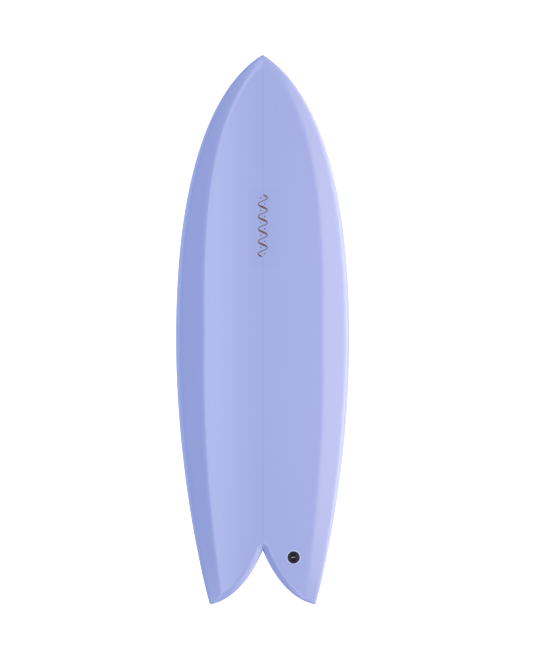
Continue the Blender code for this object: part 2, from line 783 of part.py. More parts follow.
def keel_fin(board, name, place, side):
    """The blade, with two tabs joined to its base."""
    lead, trail = fin_edges()
    depths = FIN_LIFT + (FIN_DEPTH - FIN_TIP_CUT - FIN_LIFT) * np.linspace(0, 1, FIN_LEVELS + 1) ** 0.7
    rings = [
        foil_ring(np.interp(z, lead[:, 1], lead[:, 0]), np.interp(z, trail[:, 1], trail[:, 0]), z, side)
        for z in depths
    ]
    fin = finished(f"fin_{name}", stack(rings), "fin_composite", board, place)
    for end, tab_y in (("front", TAB_SPACING / 2), ("rear", -TAB_SPACING / 2)):
        tab = stack((
            slot_ring(TAB_LENGTH, TAB_THICKNESS, FIN_LIFT + TAB_ROOT),
            slot_ring(TAB_LENGTH, TAB_THICKNESS, -TAB_REACH),
        ))
        at = place @ Matrix.Translation((0, tab_y, 0))
        boolean(fin, finished(f"tab_{name}_{end}", tab, None, board, at), "UNION")


# ---------------------------------------------------------------- the board at rest

def world_points(objects):
    return np.concatenate([
        np.array([obj.matrix_world @ vertex.co for vertex in obj.data.vertices]) for obj in objects
    ])


def tilted(points, angle):
    c, s = math.cos(angle), math.sin(angle)
    return points @ np.array(((1, 0, 0), (0, c, -s), (0, s, c)))


def lay_down(board, fins, hull):
    """Tips the nose down until the fins' tips and the belly touch one floor, and centres the board over the origin."""
    bpy.context.view_layer.update()
    fin_points, hull_points = world_points(fins), world_points(hull)
    low, high = 0.0, math.radians(MOST_TILT)
    for _ in range(TILT_TRIES):
        angle = (low + high) / 2
        fins_lower = tilted(fin_points, angle)[:, 2].min() < tilted(hull_points, angle)[:, 2].min()
        low, high = (angle, high) if fins_lower else (low, angle)
    resting = tilted(np.concatenate((fin_points, hull_points)), angle)
    corners = resting.min(axis=0), resting.max(axis=0)
    board.rotation_euler.x = -angle
    board.location = (0, -(corners[0][1] + corners[1][1]) / 2, -corners[0][2])


def build():
    for obj in list(bpy.data.objects):
        bpy.data.objects.remove(obj)
    board = bpy.data.objects.new("board", None)
    bpy.context.scene.collection.objects.link(board)

    deck = skin("deck_skin", board, deck_z, 0.0)
    bottom = skin("bottom_skin", board, bottom_z, -GAP)
    halves = {side: blank(name, board, side) for name, side in (("blank_left", -1), ("blank_right", 1))}
    stringer(board)

    cup_at = surface_frame(CUP_X, CUP_Y, deck_z, 1)
    leash_cup(board, cup_at)
    recess = cup_recess(board, cup_at)
    boolean(deck, recess, "DIFFERENCE")
    boolean(halves[1], recess, "DIFFERENCE")

    fins = []
    for name, side in (("left", -1), ("right", 1)):
        surface = surface_frame(side * BOX_X, BOX_Y, bottom_z, -1)
        place = surface @ Matrix.Rotation(-side * math.radians(TOE_IN), 4, "Z")
        fin_box(board, name, place, side)
        keel_fin(board, name, place, side)
        recess = box_recess(board, name, place)
        boolean(bottom, recess, "DIFFERENCE")
        boolean(halves[side], recess, "DIFFERENCE")
        fins.append(bpy.data.objects[f"fin_{name}"])
    lay_down(board, fins, (deck, bottom))


build()
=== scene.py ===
"""Looks of a twin-keel fish surfboard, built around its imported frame.

The hull laminates, fins, fin boxes, grub screws and leash cup are remade finely where the frame has them. The
foam and the stringer stay the frame's own solids. Shapes are worked out in the board's own frame, x across,
y towards the nose from mid-length, z up from the lowest point of the rocker, and are then laid down as it
rests.
"""

import json
import math

import bmesh
import bpy
import numpy as np
from mathutils import Matrix, Vector


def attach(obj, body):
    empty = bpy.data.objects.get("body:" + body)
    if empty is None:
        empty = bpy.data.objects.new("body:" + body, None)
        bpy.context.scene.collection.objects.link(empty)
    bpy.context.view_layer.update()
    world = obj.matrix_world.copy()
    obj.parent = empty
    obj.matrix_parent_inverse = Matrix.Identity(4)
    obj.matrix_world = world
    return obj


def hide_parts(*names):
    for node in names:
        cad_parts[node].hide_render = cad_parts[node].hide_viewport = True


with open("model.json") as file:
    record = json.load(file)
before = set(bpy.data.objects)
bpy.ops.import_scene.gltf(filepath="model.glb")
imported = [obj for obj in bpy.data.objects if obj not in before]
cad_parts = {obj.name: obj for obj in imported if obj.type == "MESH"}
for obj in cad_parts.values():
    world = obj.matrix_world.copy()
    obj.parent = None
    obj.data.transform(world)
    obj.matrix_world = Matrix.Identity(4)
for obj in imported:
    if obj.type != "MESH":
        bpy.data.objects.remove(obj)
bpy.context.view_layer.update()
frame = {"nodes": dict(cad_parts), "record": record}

# Outline, in metres and degrees. A reach is the length of a curve's handle at that end.
LENGTH = 1.6764
WIDTH = 0.5313
WIDE_POINT = -0.0241
NOSE_HALF_ANGLE = 59.36
NOSE_REACH = 0.1307
NOSE_FULLNESS = 0.5898
NOSE_ROUND = 0.006
TAIL_FULLNESS = 0.4332
TIP_X = 0.1614
TIP_ANGLE = 24.29
TIP_REACH = 0.0151
TIP_ROUND = 0.005
SWALLOW_DEPTH = 0.1646
NOTCH_HALF_ANGLE = 21.85
NOTCH_REACH = 0.0758
SWALLOW_TIP_ANGLE = 10.73
SWALLOW_TIP_REACH = 0.0815

# Rocker, thickness and cross-section.
ROCKER_LOW = -0.050
NOSE_ROCKER = 0.108
NOSE_ROCKER_POWER = 2.7
TAIL_ROCKER = 0.045
TAIL_ROCKER_POWER = 2.0
THICKNESS = 0.0635
THICKEST_POINT = 0.030
NOSE_THICKNESS = 0.012
TIP_THICKNESS = 0.012
NOSE_FOIL_POWER = 1.9
TAIL_FOIL_POWER = 2.2
DECK_CROWN = 0.005
BOTTOM_CONCAVE = 0.002

# Rails. A band is the sloping facet between the rounded rail and the deck, and the ridge is where it ends.
APEX_SHARE_MIDDLE = 0.38
APEX_SHARE_NOSE = 0.45
APEX_SHARE_TAIL = 0.33
BAND_MIDDLE = 0.0825
BAND_NOSE = 0.021
BAND_TAIL = 0.042
BAND_NOSE_POWER = 1.5
BAND_TAIL_POWER = 1.3
BAND_SHARE = 0.46
RIDGE_HALF_WIDTH = 0.009
RAIL_ROUND_MIDDLE = 0.020
RAIL_ROUND_END = 0.008
TUCK_MIDDLE = 0.045
TUCK_NOSE = 0.030
TUCK_TAIL = 0.012
SWALLOW_BAND = 0.018
SWALLOW_BAND_SHARE = 0.55
SWALLOW_ROUND = 0.007
SWALLOW_TUCK = 0.010
NOTCH_MITRE = 0.4
SKIN = 0.0010
GAP = 0.0003
STRINGER = 0.0032

# Leash cup and pin. The cup's mount in the record is a point this far off the cup's middle.
CUP_X = 0.094
CUP_FROM_TAIL = 0.144
CUP_MOUNT_X = 0.012
CUP_FLANGE_RADIUS = 0.019
CUP_FLANGE = 0.0020
CUP_BODY_RADIUS = 0.0155
CUP_DEPTH = 0.0190
CUP_EDGE = 0.0006
POCKET_WIDTH = 0.0130
POCKET_LENGTH = 0.0250
POCKET_CORNER = 0.0020
POCKET_FLOOR = 0.0030
PIN_RADIUS = 0.0024
PIN_SEAT = 0.0020
PIN_DEPTH = 0.0045
BEAD_RADIUS = 0.0203
BEAD_HALF_WIDTH = 0.0015
BEAD_HEIGHT = 0.00035

# Fin boxes and grub screws.
BOX_X = 0.166
BOX_FROM_TAIL = 0.258
TOE_IN = 2.5
BOX_LENGTH = 0.128
BOX_WIDTH = 0.026
BOX_FLANGE = 0.0020
BOX_RIM = 0.0020
BOX_DEPTH = 0.0170
BOX_EDGE = 0.0004
SOCKET_FLOOR = 0.0020
TAB_SPACING = 0.074
TAB_LENGTH = 0.0254
TAB_THICKNESS = 0.0063
TAB_REACH = 0.0140
TAB_ROOT = 0.0010
SCREW_RADIUS = 0.0021
SCREW_LENGTH = 0.0070
SCREW_TILT = 20.0
SCREW_SINK = 0.0005
THREAD_PITCH = 0.0008
THREAD_DEPTH = 0.00035
HEX_WIDTH = 0.0020
HEX_DEPTH = 0.0025

# Keel fins.
FIN_BASE = 0.162
FIN_DEPTH = 0.128
FIN_CANT = 4.0
FIN_BASE_THICKNESS = 0.0085
FIN_TIP_THICKNESS = 0.0032
FIN_EDGE = 0.0010
FIN_EDGE_ROUND = 0.0015
FIN_RAKE = 0.147
FIN_LEAD_REACH = 0.070
FIN_LEAD_ANGLE = 38.0
FIN_TIP_REACH = 0.056
FIN_TIP_CUT = 0.0004
FIN_CUTAWAY = (0.019, 0.050)
FIN_HEEL = (-0.040, -0.016)
FIN_THICKEST = 0.36
FIN_LIFT = 0.0005

# The printed mark, a running wave along the stringer, and the faint paper that it is printed on.
MARK_Y = 0.3177
MARK_LENGTH = 0.190
MARK_HALF_WIDTH = 0.0140
MARK_WAVES = 5
MARK_THIN = 0.0026
MARK_THICK = 0.0064
MARK_DOT = 0.0040
MARK_DOT_PLACE = 0.45
MARK_SHEET = 0.00008
PAPER_X = 0.003
PAPER_Y = 0.310
PAPER_HALF_WIDTH = 0.050
PAPER_HALF_LENGTH = 0.120
PAPER_SIDE_FADE = 0.004
PAPER_END_FADE = 0.006

# Where the stringer's line stops showing through the deck.
STRINGER_FROM_NOSE = 0.033
STRINGER_FROM_NOTCH = 0.024
STRINGER_NOSE_FADE = 0.004
STRINGER_TAIL_FADE = 0.030

# Fineness.
CURVE_STEPS = 160
CORNER_STEPS = 12
BODY_ROWS = 230
LOBE_ROWS = 80
RAIL_STEPS = 14
BAND_STEPS = 6
RIDGE_STEPS = 8
FLAT_STEPS = 24
LOBE_RAIL_STEPS = 8
LOBE_BAND_STEPS = 6
FULLEST_ROW = 0.85
LOBE_RUN_IN = 0.090
FIN_LEVELS = 70
FIN_STEPS = 40
ROUND_STEPS = 96
PIN_STEPS = 48
SCREW_STEPS = 32
SCREW_ROWS = 56
MARK_STEPS = 360

HALF_LENGTH = LENGTH / 2
HALF_WIDTH = WIDTH / 2
NOTCH_Y = SWALLOW_DEPTH - HALF_LENGTH
BOX_Y = BOX_FROM_TAIL - HALF_LENGTH
CUP_Y = CUP_FROM_TAIL - HALF_LENGTH
SMOOTH_ANGLE = math.radians(35)
MERGE = 1e-6

# Camera: looks straight down on the deck from far away, its middle a little right of the stringer.
CAMERA_AWAY = 30.0
SENSOR = 36.0
VIEW_HEIGHT = 2.0039
VIEW_MIDDLE = (0.0114, 0.0060, 0.030)
FLOOR_SIZE = 400.0
FLOOR_DROP = 0.0002
FLOOR_GLOW = 0.9
FLOOR_BOUNCE = 0.3

# Light. Each panel: name, lean from straight above the deck in degrees, how far ahead, width, length,
# colour, radiance.
LIGHT_AWAY = 2.0
AMBIENT = 0.5
AMBIENT_COLOUR = (0.6, 0.7, 1.0, 1.0)
PANELS = (
    ("overhead_strip", -8.5, 0.0, 0.32, 4.4, (1.0, 1.0, 1.0), 2.8),
    ("left_side_panel", -76.0, 0.0, 0.70, 4.4, (0.9, 1.0, 0.9), 1.2),
    ("right_panel", 34.0, 0.0, 0.90, 4.4, (1.0, 0.7, 0.2), 1.5),
    ("right_side_panel", 57.0, 0.0, 0.60, 4.4, (1.0, 0.9, 0.7), 2.0),
    ("right_low_panel", 76.0, 0.0, 0.70, 4.4, (1.0, 0.9, 0.7), 3.6),
)


# ---------------------------------------------------------------- outline

def polar(length, degrees_from_y):
    """A step of this length, turned clockwise from +y."""
    turn = math.radians(degrees_from_y)
    return np.array((length * math.sin(turn), length * math.cos(turn)))


def bezier(start, first, second, end):
    t = np.linspace(0, 1, CURVE_STEPS + 1)[:, None]
    ends = (1 - t) ** 3 * start + t**3 * end
    return ends + 3 * (1 - t) ** 2 * t * first + 3 * (1 - t) * t**2 * second


def fillet(corner, towards_a, towards_b, radius):
    """The arc that rounds a corner between two unit directions, and its tangent length."""
    middle = (towards_a + towards_b) / np.linalg.norm(towards_a + towards_b)
    half = math.acos(np.clip(np.dot(towards_a, middle), -1, 1))
    tangent = radius / math.tan(half)
    centre = corner + middle * radius / math.sin(half)
    first = corner + towards_a * tangent - centre
    last = corner + towards_b * tangent - centre
    sweep = math.atan2(first[0] * last[1] - first[1] * last[0], np.dot(first, last))
    turns = sweep * np.linspace(0, 1, 2 * CORNER_STEPS + 1)
    across = first[0] * np.cos(turns) - first[1] * np.sin(turns)
    along = first[0] * np.sin(turns) + first[1] * np.cos(turns)
    return centre + np.stack((across, along), axis=1), tangent


def trimmed(points, corner, tangent):
    return points[np.linalg.norm(points - corner, axis=1) > tangent]


def edge_lines():
    """The right half's outer edge, nose to tail tip, and its swallow edge, notch to tail tip."""
    nose_turn = math.radians(NOSE_HALF_ANGLE)
    nose = np.array((0.0, HALF_LENGTH + NOSE_ROUND / math.sin(nose_turn) - NOSE_ROUND))
    wide = np.array((HALF_WIDTH, WIDE_POINT))
    along_outer = polar(1, TIP_ANGLE)
    along_inner = polar(1, SWALLOW_TIP_ANGLE - 90)
    middle = (along_outer + along_inner) / np.linalg.norm(along_outer + along_inner)
    half = math.acos(np.dot(along_outer, middle))
    tip = np.array((TIP_X, TIP_ROUND * (1 - middle[1] / math.sin(half)) - HALF_LENGTH))
    notch = np.array((0.0, NOTCH_Y))
    nose_handle = nose + polar(NOSE_REACH, 180 - NOSE_HALF_ANGLE)
    notch_handle = notch + polar(NOTCH_REACH, 180 - NOTCH_HALF_ANGLE)
    front = bezier(nose, nose_handle, wide + (0, NOSE_FULLNESS), wide)
    back = bezier(wide, wide - (0, TAIL_FULLNESS), tip + TIP_REACH * along_outer, tip)
    swallow = bezier(tip, tip + SWALLOW_TIP_REACH * along_inner, notch_handle, notch)
    right = polar(1, 180 - NOSE_HALF_ANGLE)
    nose_arc, nose_cut = fillet(nose, right * (-1, 1), right, NOSE_ROUND)
    tip_arc, tip_cut = fillet(tip, along_outer, along_inner, TIP_ROUND)
    outer = np.concatenate((
        nose_arc[CORNER_STEPS:],
        trimmed(front, nose, nose_cut),
        trimmed(back[1:], tip, tip_cut),
        tip_arc[: CORNER_STEPS + 1],
    ))
    inner = np.concatenate((tip_arc[CORNER_STEPS:], trimmed(swallow, tip, tip_cut)))
    return outer, inner[::-1]


OUTER, SWALLOW = edge_lines()


def distance(points, line):
    """Distance from each point to a polyline, and whether its nearest place is the line's start."""
    start, along = line[:-1], np.diff(line, axis=0)
    rel = points[:, None] - start[None]
    t = np.clip((rel * along).sum(axis=2) / (along**2).sum(axis=1), 0, 1)
    gaps = np.linalg.norm(rel - t[..., None] * along, axis=2)
    nearest = gaps.argmin(axis=1)
    rows = np.arange(len(points))
    return gaps[rows, nearest], (nearest == 0) & (t[rows, nearest] == 0)


def edge_distances(points):
    """Distances to the outer edge and to the swallow, whose corner is partly mitred ahead of the notch."""
    to_swallow, ahead = distance(points, SWALLOW)
    along = (SWALLOW[1] - SWALLOW[0]) / np.linalg.norm(SWALLOW[1] - SWALLOW[0])
    rel = points - SWALLOW[0]
    mitred = np.abs(rel[:, 0] * along[1] - rel[:, 1] * along[0])
    blend = NOTCH_MITRE * mitred + (1 - NOTCH_MITRE) * to_swallow
    return distance(points, OUTER)[0], np.where(ahead, blend, to_swallow)


# ---------------------------------------------------------------- profile and section

def end_share(y, middle):
    """0 at the middle station, 1 at the nose or the tail tips."""
    ahead, behind = (y - middle) / (HALF_LENGTH - middle), (middle - y) / (HALF_LENGTH + middle)
    return np.where(y > middle, ahead, behind).clip(0, 1)


def by_station(y, middle, at_middle, at_nose, at_tail, nose_power, tail_power):
    s = end_share(y, middle)
    nose = at_nose + (at_middle - at_nose) * (1 - s**nose_power)
    tail = at_tail + (at_middle - at_tail) * (1 - s**tail_power)
    return np.where(y > middle, nose, tail)


def rocker(y):
    powers = NOSE_ROCKER_POWER, TAIL_ROCKER_POWER
    return by_station(y, ROCKER_LOW, 0.0, NOSE_ROCKER, TAIL_ROCKER, *powers)


def thickness(y):
    powers = NOSE_FOIL_POWER, TAIL_FOIL_POWER
    return by_station(y, THICKEST_POINT, THICKNESS, NOSE_THICKNESS, TIP_THICKNESS, *powers)


def band(y):
    powers = BAND_NOSE_POWER, BAND_TAIL_POWER
    return by_station(y, WIDE_POINT, BAND_MIDDLE, BAND_NOSE, BAND_TAIL, *powers)


def rail_round(y):
    return by_station(y, 0.0, RAIL_ROUND_MIDDLE, RAIL_ROUND_END, RAIL_ROUND_END, 2, 2)


def tuck(y):
    return by_station(y, 0.0, TUCK_MIDDLE, TUCK_NOSE, TUCK_TAIL, 2, 1.5)


def apex(y):
    share = by_station(y, 0.0, APEX_SHARE_MIDDLE, APEX_SHARE_NOSE, APEX_SHARE_TAIL, 2, 2)
    return rocker(y) + share * thickness(y)


def soft_min(a, b, softness):
    k = np.maximum(np.minimum(softness, (a + b) / 2), 1e-9)
    return np.minimum(a, b) - np.maximum(k - np.abs(a - b), 0) ** 2 / (4 * k)


def quarter_round(share):
    return np.sqrt(np.maximum(1 - (1 - np.clip(share, 0, 1)) ** 2, 0))


def flank(d, full, radius, width, share):
    """Height above the apex at distance d from an edge: a rounded rail running into the straight band."""
    return share * full * quarter_round(d / radius) + (1 - share) * full * d / width


def deck_z(points, d_out, d_in):
    x, y = points[:, 0], points[:, 1]
    full = rocker(y) + thickness(y) - DECK_CROWN * (x / HALF_WIDTH) ** 2 - apex(y)
    outside = flank(d_out, full, rail_round(y), band(y), BAND_SHARE)
    inside = flank(d_in, full, SWALLOW_ROUND, SWALLOW_BAND, SWALLOW_BAND_SHARE)
    softness = (1 - BAND_SHARE) * full / band(y) * RIDGE_HALF_WIDTH
    return apex(y) + soft_min(soft_min(outside, inside, softness), full, softness)


def bottom_z(points, d_out, d_in):
    x, y = points[:, 0], points[:, 1]
    hollow = BOTTOM_CONCAVE * (1 - end_share(y, 0.0) ** 2) * (x / HALF_WIDTH) ** 2
    full = apex(y) - rocker(y) + hollow
    return apex(y) - full * quarter_round(np.minimum(d_out / tuck(y), d_in / SWALLOW_TUCK))


def surface_frame(x, y, height, outwards):
    """Where a fitting meets the hull: its origin there, y towards the nose, z straight out of the board."""
    step = 0.004
    side = math.copysign(1, x)
    probes = np.array(((abs(x), y), (abs(x) + step, y), (abs(x), y + step)))
    z = height(probes, *edge_distances(probes))
    across = Vector((step, 0, side * (z[1] - z[0])))
    along = Vector((0, step, z[2] - z[0])).normalized()
    normal = across.cross(along).normalized() * outwards
    turned = Matrix((along.cross(normal), along, normal)).transposed().to_4x4()
    return Matrix.Translation((x, y, z[0])) @ turned


def deck_point(x, y):
    """A plan point with its distances to the edges, as the section formulas take them."""
    point = np.array(((abs(x), y),))
    return point, *edge_distances(point)


def board_at_rest():
    """From the board's own frame to the row frame, found from the leash cup's rim."""
    rim = next(m for m in frame["record"]["mounts"] if m["name"] == "leash_cup_rim")
    cup = surface_frame(CUP_X, CUP_Y, deck_z, 1)
    normal, axis = cup.col[2], rim["axis"]
    tilt = Matrix.Rotation(math.atan2(normal[1], normal[2]) - math.atan2(axis[1], axis[2]), 4, "X")
    point = tilt @ cup @ Vector((CUP_MOUNT_X, 0, 0))
    return Matrix.Translation(Vector(rim["pos_m"]) - point) @ tilt


BOARD = board_at_rest()


# ---------------------------------------------------------------- plan points of the hull

def eased(steps):
    """Shares from 0 to 1 that crowd together at both ends."""
    return (1 - np.cos(np.linspace(0, math.pi, steps + 1))) / 2


def along_line(line, shares):
    """Points at these shares of a polyline's length."""
    run = np.concatenate(([0], np.cumsum(np.linalg.norm(np.diff(line, axis=0), axis=1))))
    return np.stack([np.interp(shares * run[-1], run, line[:, i]) for i in (0, 1)], axis=1)


def rounded_run(radius, steps):
    """Distances from an edge over its round, finest where the surface stands upright."""
    return radius * (1 - np.cos(math.pi / 2 * np.linspace(0, 1, steps + 1) ** 2))


def column_shares(width, y):
    """Where a row's points lie, from its inner end, 0, to its outer end, 1, closest on the rails."""
    ridge, rounded = band(y), rail_round(y)
    near = np.concatenate((
        rounded_run(rounded, RAIL_STEPS),
        np.linspace(rounded, ridge - RIDGE_HALF_WIDTH, BAND_STEPS + 1)[1:],
        np.linspace(ridge - RIDGE_HALF_WIDTH, ridge + RIDGE_HALF_WIDTH, RIDGE_STEPS + 1)[1:],
    ))
    inner = np.concatenate((
        rounded_run(SWALLOW_ROUND, LOBE_RAIL_STEPS),
        np.linspace(SWALLOW_ROUND, SWALLOW_BAND + RIDGE_HALF_WIDTH, LOBE_BAND_STEPS + 1)[1:],
    ))
    lobe_scale = min(1.0, FULLEST_ROW * width / (near[-1] + inner[-1]))
    lobe_near, inner = near * lobe_scale, inner * lobe_scale
    between = np.linspace(inner[-1], width - lobe_near[-1], FLAT_STEPS - len(inner) + 2)[1:-1]
    lobe = np.concatenate((inner, between, width - lobe_near[::-1]))
    near *= min(1.0, FULLEST_ROW * width / near[-1])
    far = np.linspace(0, width - near[-1], FLAT_STEPS + 1)[:-1]
    body = np.concatenate((far, width - near[::-1]))
    share = np.clip((NOTCH_Y + LOBE_RUN_IN - y) / LOBE_RUN_IN, 0, 1)
    share = share**2 * (3 - 2 * share)
    return (body * (1 - share) + lobe * share) / width


def plan():
    """The right half's plan points, rows by columns, with each one's distances to both edges."""
    top, notch = OUTER[0], SWALLOW[0]
    body_y = top[1] + (notch[1] - top[1]) * eased(BODY_ROWS)
    widths = np.interp(-body_y, -OUTER[:, 1], OUTER[:, 0])
    body_outer = np.stack((widths, body_y), axis=1)
    body_inner = np.stack((np.zeros(len(body_y)), body_y), axis=1)
    rest = np.concatenate(([body_outer[-1]], OUTER[OUTER[:, 1] < notch[1] - MERGE]))
    part = eased(LOBE_ROWS)[1:]
    inner = np.concatenate((body_inner, along_line(SWALLOW, part)))
    outer = np.concatenate((body_outer, along_line(rest, part)))
    rows = []
    for a, b in zip(inner, outer):
        width = max(np.linalg.norm(b - a), MERGE)
        rows.append(a + (b - a) * column_shares(width, (a[1] + b[1]) / 2)[:, None])
    points = np.array(rows)
    d_out, d_in = edge_distances(points.reshape(-1, 2))
    d_out, d_in = d_out.reshape(points.shape[:2]), d_in.reshape(points.shape[:2])
    d_out[:, -1] = 0.0
    d_in[BODY_ROWS:, 0] = 0.0
    return points, d_out, d_in


# ---------------------------------------------------------------- modelling by hand

def only(obj):
    """Selects this object alone and makes it the active one."""
    bpy.ops.object.select_all(action="DESELECT")
    obj.select_set(True)
    bpy.context.view_layer.objects.active = obj
    return obj


def made(name):
    obj = bpy.context.object
    obj.name = name
    obj.data.name = name
    return obj


def pick(obj, kind, test):
    """Goes into edit mode with the verts, edges or faces selected that pass the test."""
    only(obj)
    bpy.ops.object.mode_set(mode="EDIT")
    bpy.ops.mesh.select_mode(type={"verts": "VERT", "edges": "EDGE", "faces": "FACE"}[kind])
    bpy.ops.mesh.select_all(action="DESELECT")
    mesh = bmesh.from_edit_mesh(obj.data)
    for item in getattr(mesh, kind):
        if test(item):
            item.select_set(True)
    bmesh.update_edit_mesh(obj.data)


def done():
    bpy.ops.object.mode_set(mode="OBJECT")


def cleaned(obj):
    """Merges doubles and turns the faces outwards."""
    pick(obj, "verts", lambda vert: True)
    bpy.ops.mesh.remove_doubles(threshold=MERGE)
    bpy.ops.mesh.normals_make_consistent(inside=False)
    done()
    return obj


def modified(obj, kind, **settings):
    """Adds a modifier with these settings and applies it."""
    only(obj)
    modifier = obj.modifiers.new(kind.lower(), kind)
    for key, value in settings.items():
        setattr(modifier, key, value)
    bpy.ops.object.modifier_apply(modifier=modifier.name)
    return obj


def cut(obj, cutter, operation="DIFFERENCE"):
    """Cuts the cutter out of the object, or joins it on, and removes it."""
    modified(obj, "BOOLEAN", operation=operation, solver="EXACT", object=cutter)
    bpy.data.objects.remove(cutter)
    return obj


def bevelled(obj, test, width, segments):
    pick(obj, "edges", test)
    bpy.ops.mesh.bevel(offset=width, segments=segments, affect="EDGES", profile=0.5)
    done()
    return obj


def placed(obj, place):
    """Moves the mesh, and not the object, to its place on the resting board."""
    obj.data.transform(BOARD @ place)
    return obj


def smooth(obj):
    only(obj)
    bpy.ops.object.shade_smooth_by_angle(angle=SMOOTH_ANGLE)
    return obj


def level(z):
    """A test for an edge that lies at this height."""
    return lambda edge: all(abs(vert.co.z - z) < MERGE for vert in edge.verts)


def formed(name, points):
    """A grid whose vertices take these places, an array of rows from the far side by columns by 3."""
    rows, columns = points.shape[:2]
    bpy.ops.object.select_all(action="DESELECT")
    bpy.ops.mesh.primitive_grid_add(x_subdivisions=columns - 1, y_subdivisions=rows - 1, size=2)
    obj = made(name)
    flat = np.empty(len(obj.data.vertices) * 3, np.float32)
    obj.data.vertices.foreach_get("co", flat)
    flat = flat.reshape(-1, 3)
    column = np.rint((flat[:, 0] + 1) / 2 * (columns - 1)).astype(int)
    row = np.rint((1 - flat[:, 1]) / 2 * (rows - 1)).astype(int)
    obj.data.vertices.foreach_set("co", points[row, column].astype(np.float32).ravel())
    obj.data.update()
    return obj


def rod(name, radius, low, high, steps=ROUND_STEPS):
    """A cylinder along z."""
    bpy.ops.object.select_all(action="DESELECT")
    middle = (0, 0, (low + high) / 2)
    bpy.ops.mesh.primitive_cylinder_add(vertices=steps, radius=radius, depth=high - low, location=middle)
    bpy.ops.object.transform_apply(location=True, rotation=True, scale=True)
    return made(name)


def block(name, width, length, low, high, corner, steps):
    """A box, long in y, whose upright edges are rounded."""
    bpy.ops.object.select_all(action="DESELECT")
    size = (width, length, high - low)
    bpy.ops.mesh.primitive_cube_add(size=1, location=(0, 0, (low + high) / 2), scale=size)
    bpy.ops.object.transform_apply(location=True, rotation=True, scale=True)
    obj = made(name)
    upright = lambda edge: abs(edge.verts[0].co.z - edge.verts[1].co.z) > (high - low) / 2
    return bevelled(obj, upright, corner, steps)


def slot_block(name, width, length, low, high):
    """A box with round ends."""
    return block(name, width, length, low, high, width / 2 - GAP / 4, CORNER_STEPS)


def stepped_down(obj, low, inset, depth):
    """Insets the lowest face and extrudes it down by this depth."""
    pick(obj, "faces", lambda face: all(abs(vert.co.z - low) < MERGE for vert in face.verts))
    bpy.ops.mesh.inset(thickness=inset)
    bpy.ops.mesh.extrude_region_move(TRANSFORM_OT_translate={"value": (0, 0, -depth)})
    done()
    return obj


# ---------------------------------------------------------------- hull laminates

def laminate_shell(name, height, faces_up):
    """One laminate: its outer surface placed on a grid, mirrored over the stringer and given its wall."""
    points, d_out, d_in = PLAN
    flat = points.reshape(-1, 2)
    z = height(flat, d_out.ravel(), d_in.ravel())
    obj = formed(name, np.column_stack((flat, z)).reshape(*points.shape[:2], 3))
    pick(obj, "verts", lambda vert: True)
    bpy.ops.mesh.remove_doubles(threshold=MERGE)
    if not faces_up:
        bpy.ops.mesh.flip_normals()
    done()
    modified(obj, "MIRROR", merge_threshold=MERGE * 10)
    modified(obj, "SOLIDIFY", thickness=SKIN, offset=-1)
    return placed(obj, Matrix.Identity(4))


def make_laminates(cup_place, box_places):
    deck = laminate_shell("deck_laminate", deck_z, True)
    cut(deck, placed(rod("cup_hole", CUP_FLANGE_RADIUS + GAP, -CUP_DEPTH, CUP_DEPTH), cup_place))
    bottom = laminate_shell("bottom_laminate", bottom_z, False)
    for place in box_places:
        size = BOX_WIDTH + 2 * GAP, BOX_LENGTH + 2 * GAP
        hole = slot_block("box_hole", *size, -BOX_DEPTH / 2, BOX_DEPTH / 2)
        cut(bottom, placed(hole, place))
    return smooth(deck), smooth(bottom)


# ---------------------------------------------------------------- leash cup

def make_cup(place):
    """A round flanged cup with a slot-shaped pocket, its rims eased."""
    cup = rod("leash_cup_body", CUP_FLANGE_RADIUS, -CUP_FLANGE, 0)
    stepped_down(cup, -CUP_FLANGE, CUP_FLANGE_RADIUS - CUP_BODY_RADIUS, CUP_DEPTH - CUP_FLANGE)
    bevelled(cup, level(0), CUP_EDGE, 4)
    floor = POCKET_FLOOR - CUP_DEPTH
    pocket = block("pocket", POCKET_WIDTH, POCKET_LENGTH, floor, CUP_FLANGE, POCKET_CORNER, 6)
    cut(cup, pocket)
    half = POCKET_LENGTH / 2 + GAP
    bevelled(cup, lambda edge: level(0)(edge) and edge.verts[0].co.xy.length < half, CUP_EDGE / 2, 3)
    reach = POCKET_WIDTH / 2 + PIN_SEAT + GAP
    seat = rod("pin_seat", PIN_RADIUS + GAP, -reach, reach, PIN_STEPS)
    seat.data.transform(Matrix.Translation((0, 0, -PIN_DEPTH)) @ Matrix.Rotation(math.pi / 2, 4, "Y"))
    cut(cup, seat)
    return smooth(placed(cup, place))


def make_pin(place):
    half = POCKET_WIDTH / 2 + PIN_SEAT
    pin = rod("leash_pin_bar", PIN_RADIUS, -half, half, PIN_STEPS)
    ends = lambda edge: abs(abs(edge.verts[0].co.z) - half) < MERGE and edge.calc_length() < PIN_RADIUS
    bevelled(pin, lambda edge: ends(edge) and abs(edge.verts[0].co.z - edge.verts[1].co.z) < MERGE, GAP, 3)
    pin.data.transform(Matrix.Translation((0, 0, -PIN_DEPTH)) @ Matrix.Rotation(math.pi / 2, 4, "Y"))
    return smooth(placed(pin, place))


def make_bead(place):
    """The ring of resin that seals the cup to the deck."""
    bpy.ops.object.select_all(action="DESELECT")
    bpy.ops.mesh.primitive_torus_add(
        major_segments=ROUND_STEPS, minor_segments=16, major_radius=BEAD_RADIUS, minor_radius=BEAD_HALF_WIDTH
    )
    bead = made("leash_cup_bead")
    pick(bead, "verts", lambda vert: True)
    bpy.ops.transform.resize(value=(1, 1, BEAD_HEIGHT / BEAD_HALF_WIDTH))
    done()
    return smooth(placed(bead, place))


# ---------------------------------------------------------------- fin boxes and screws

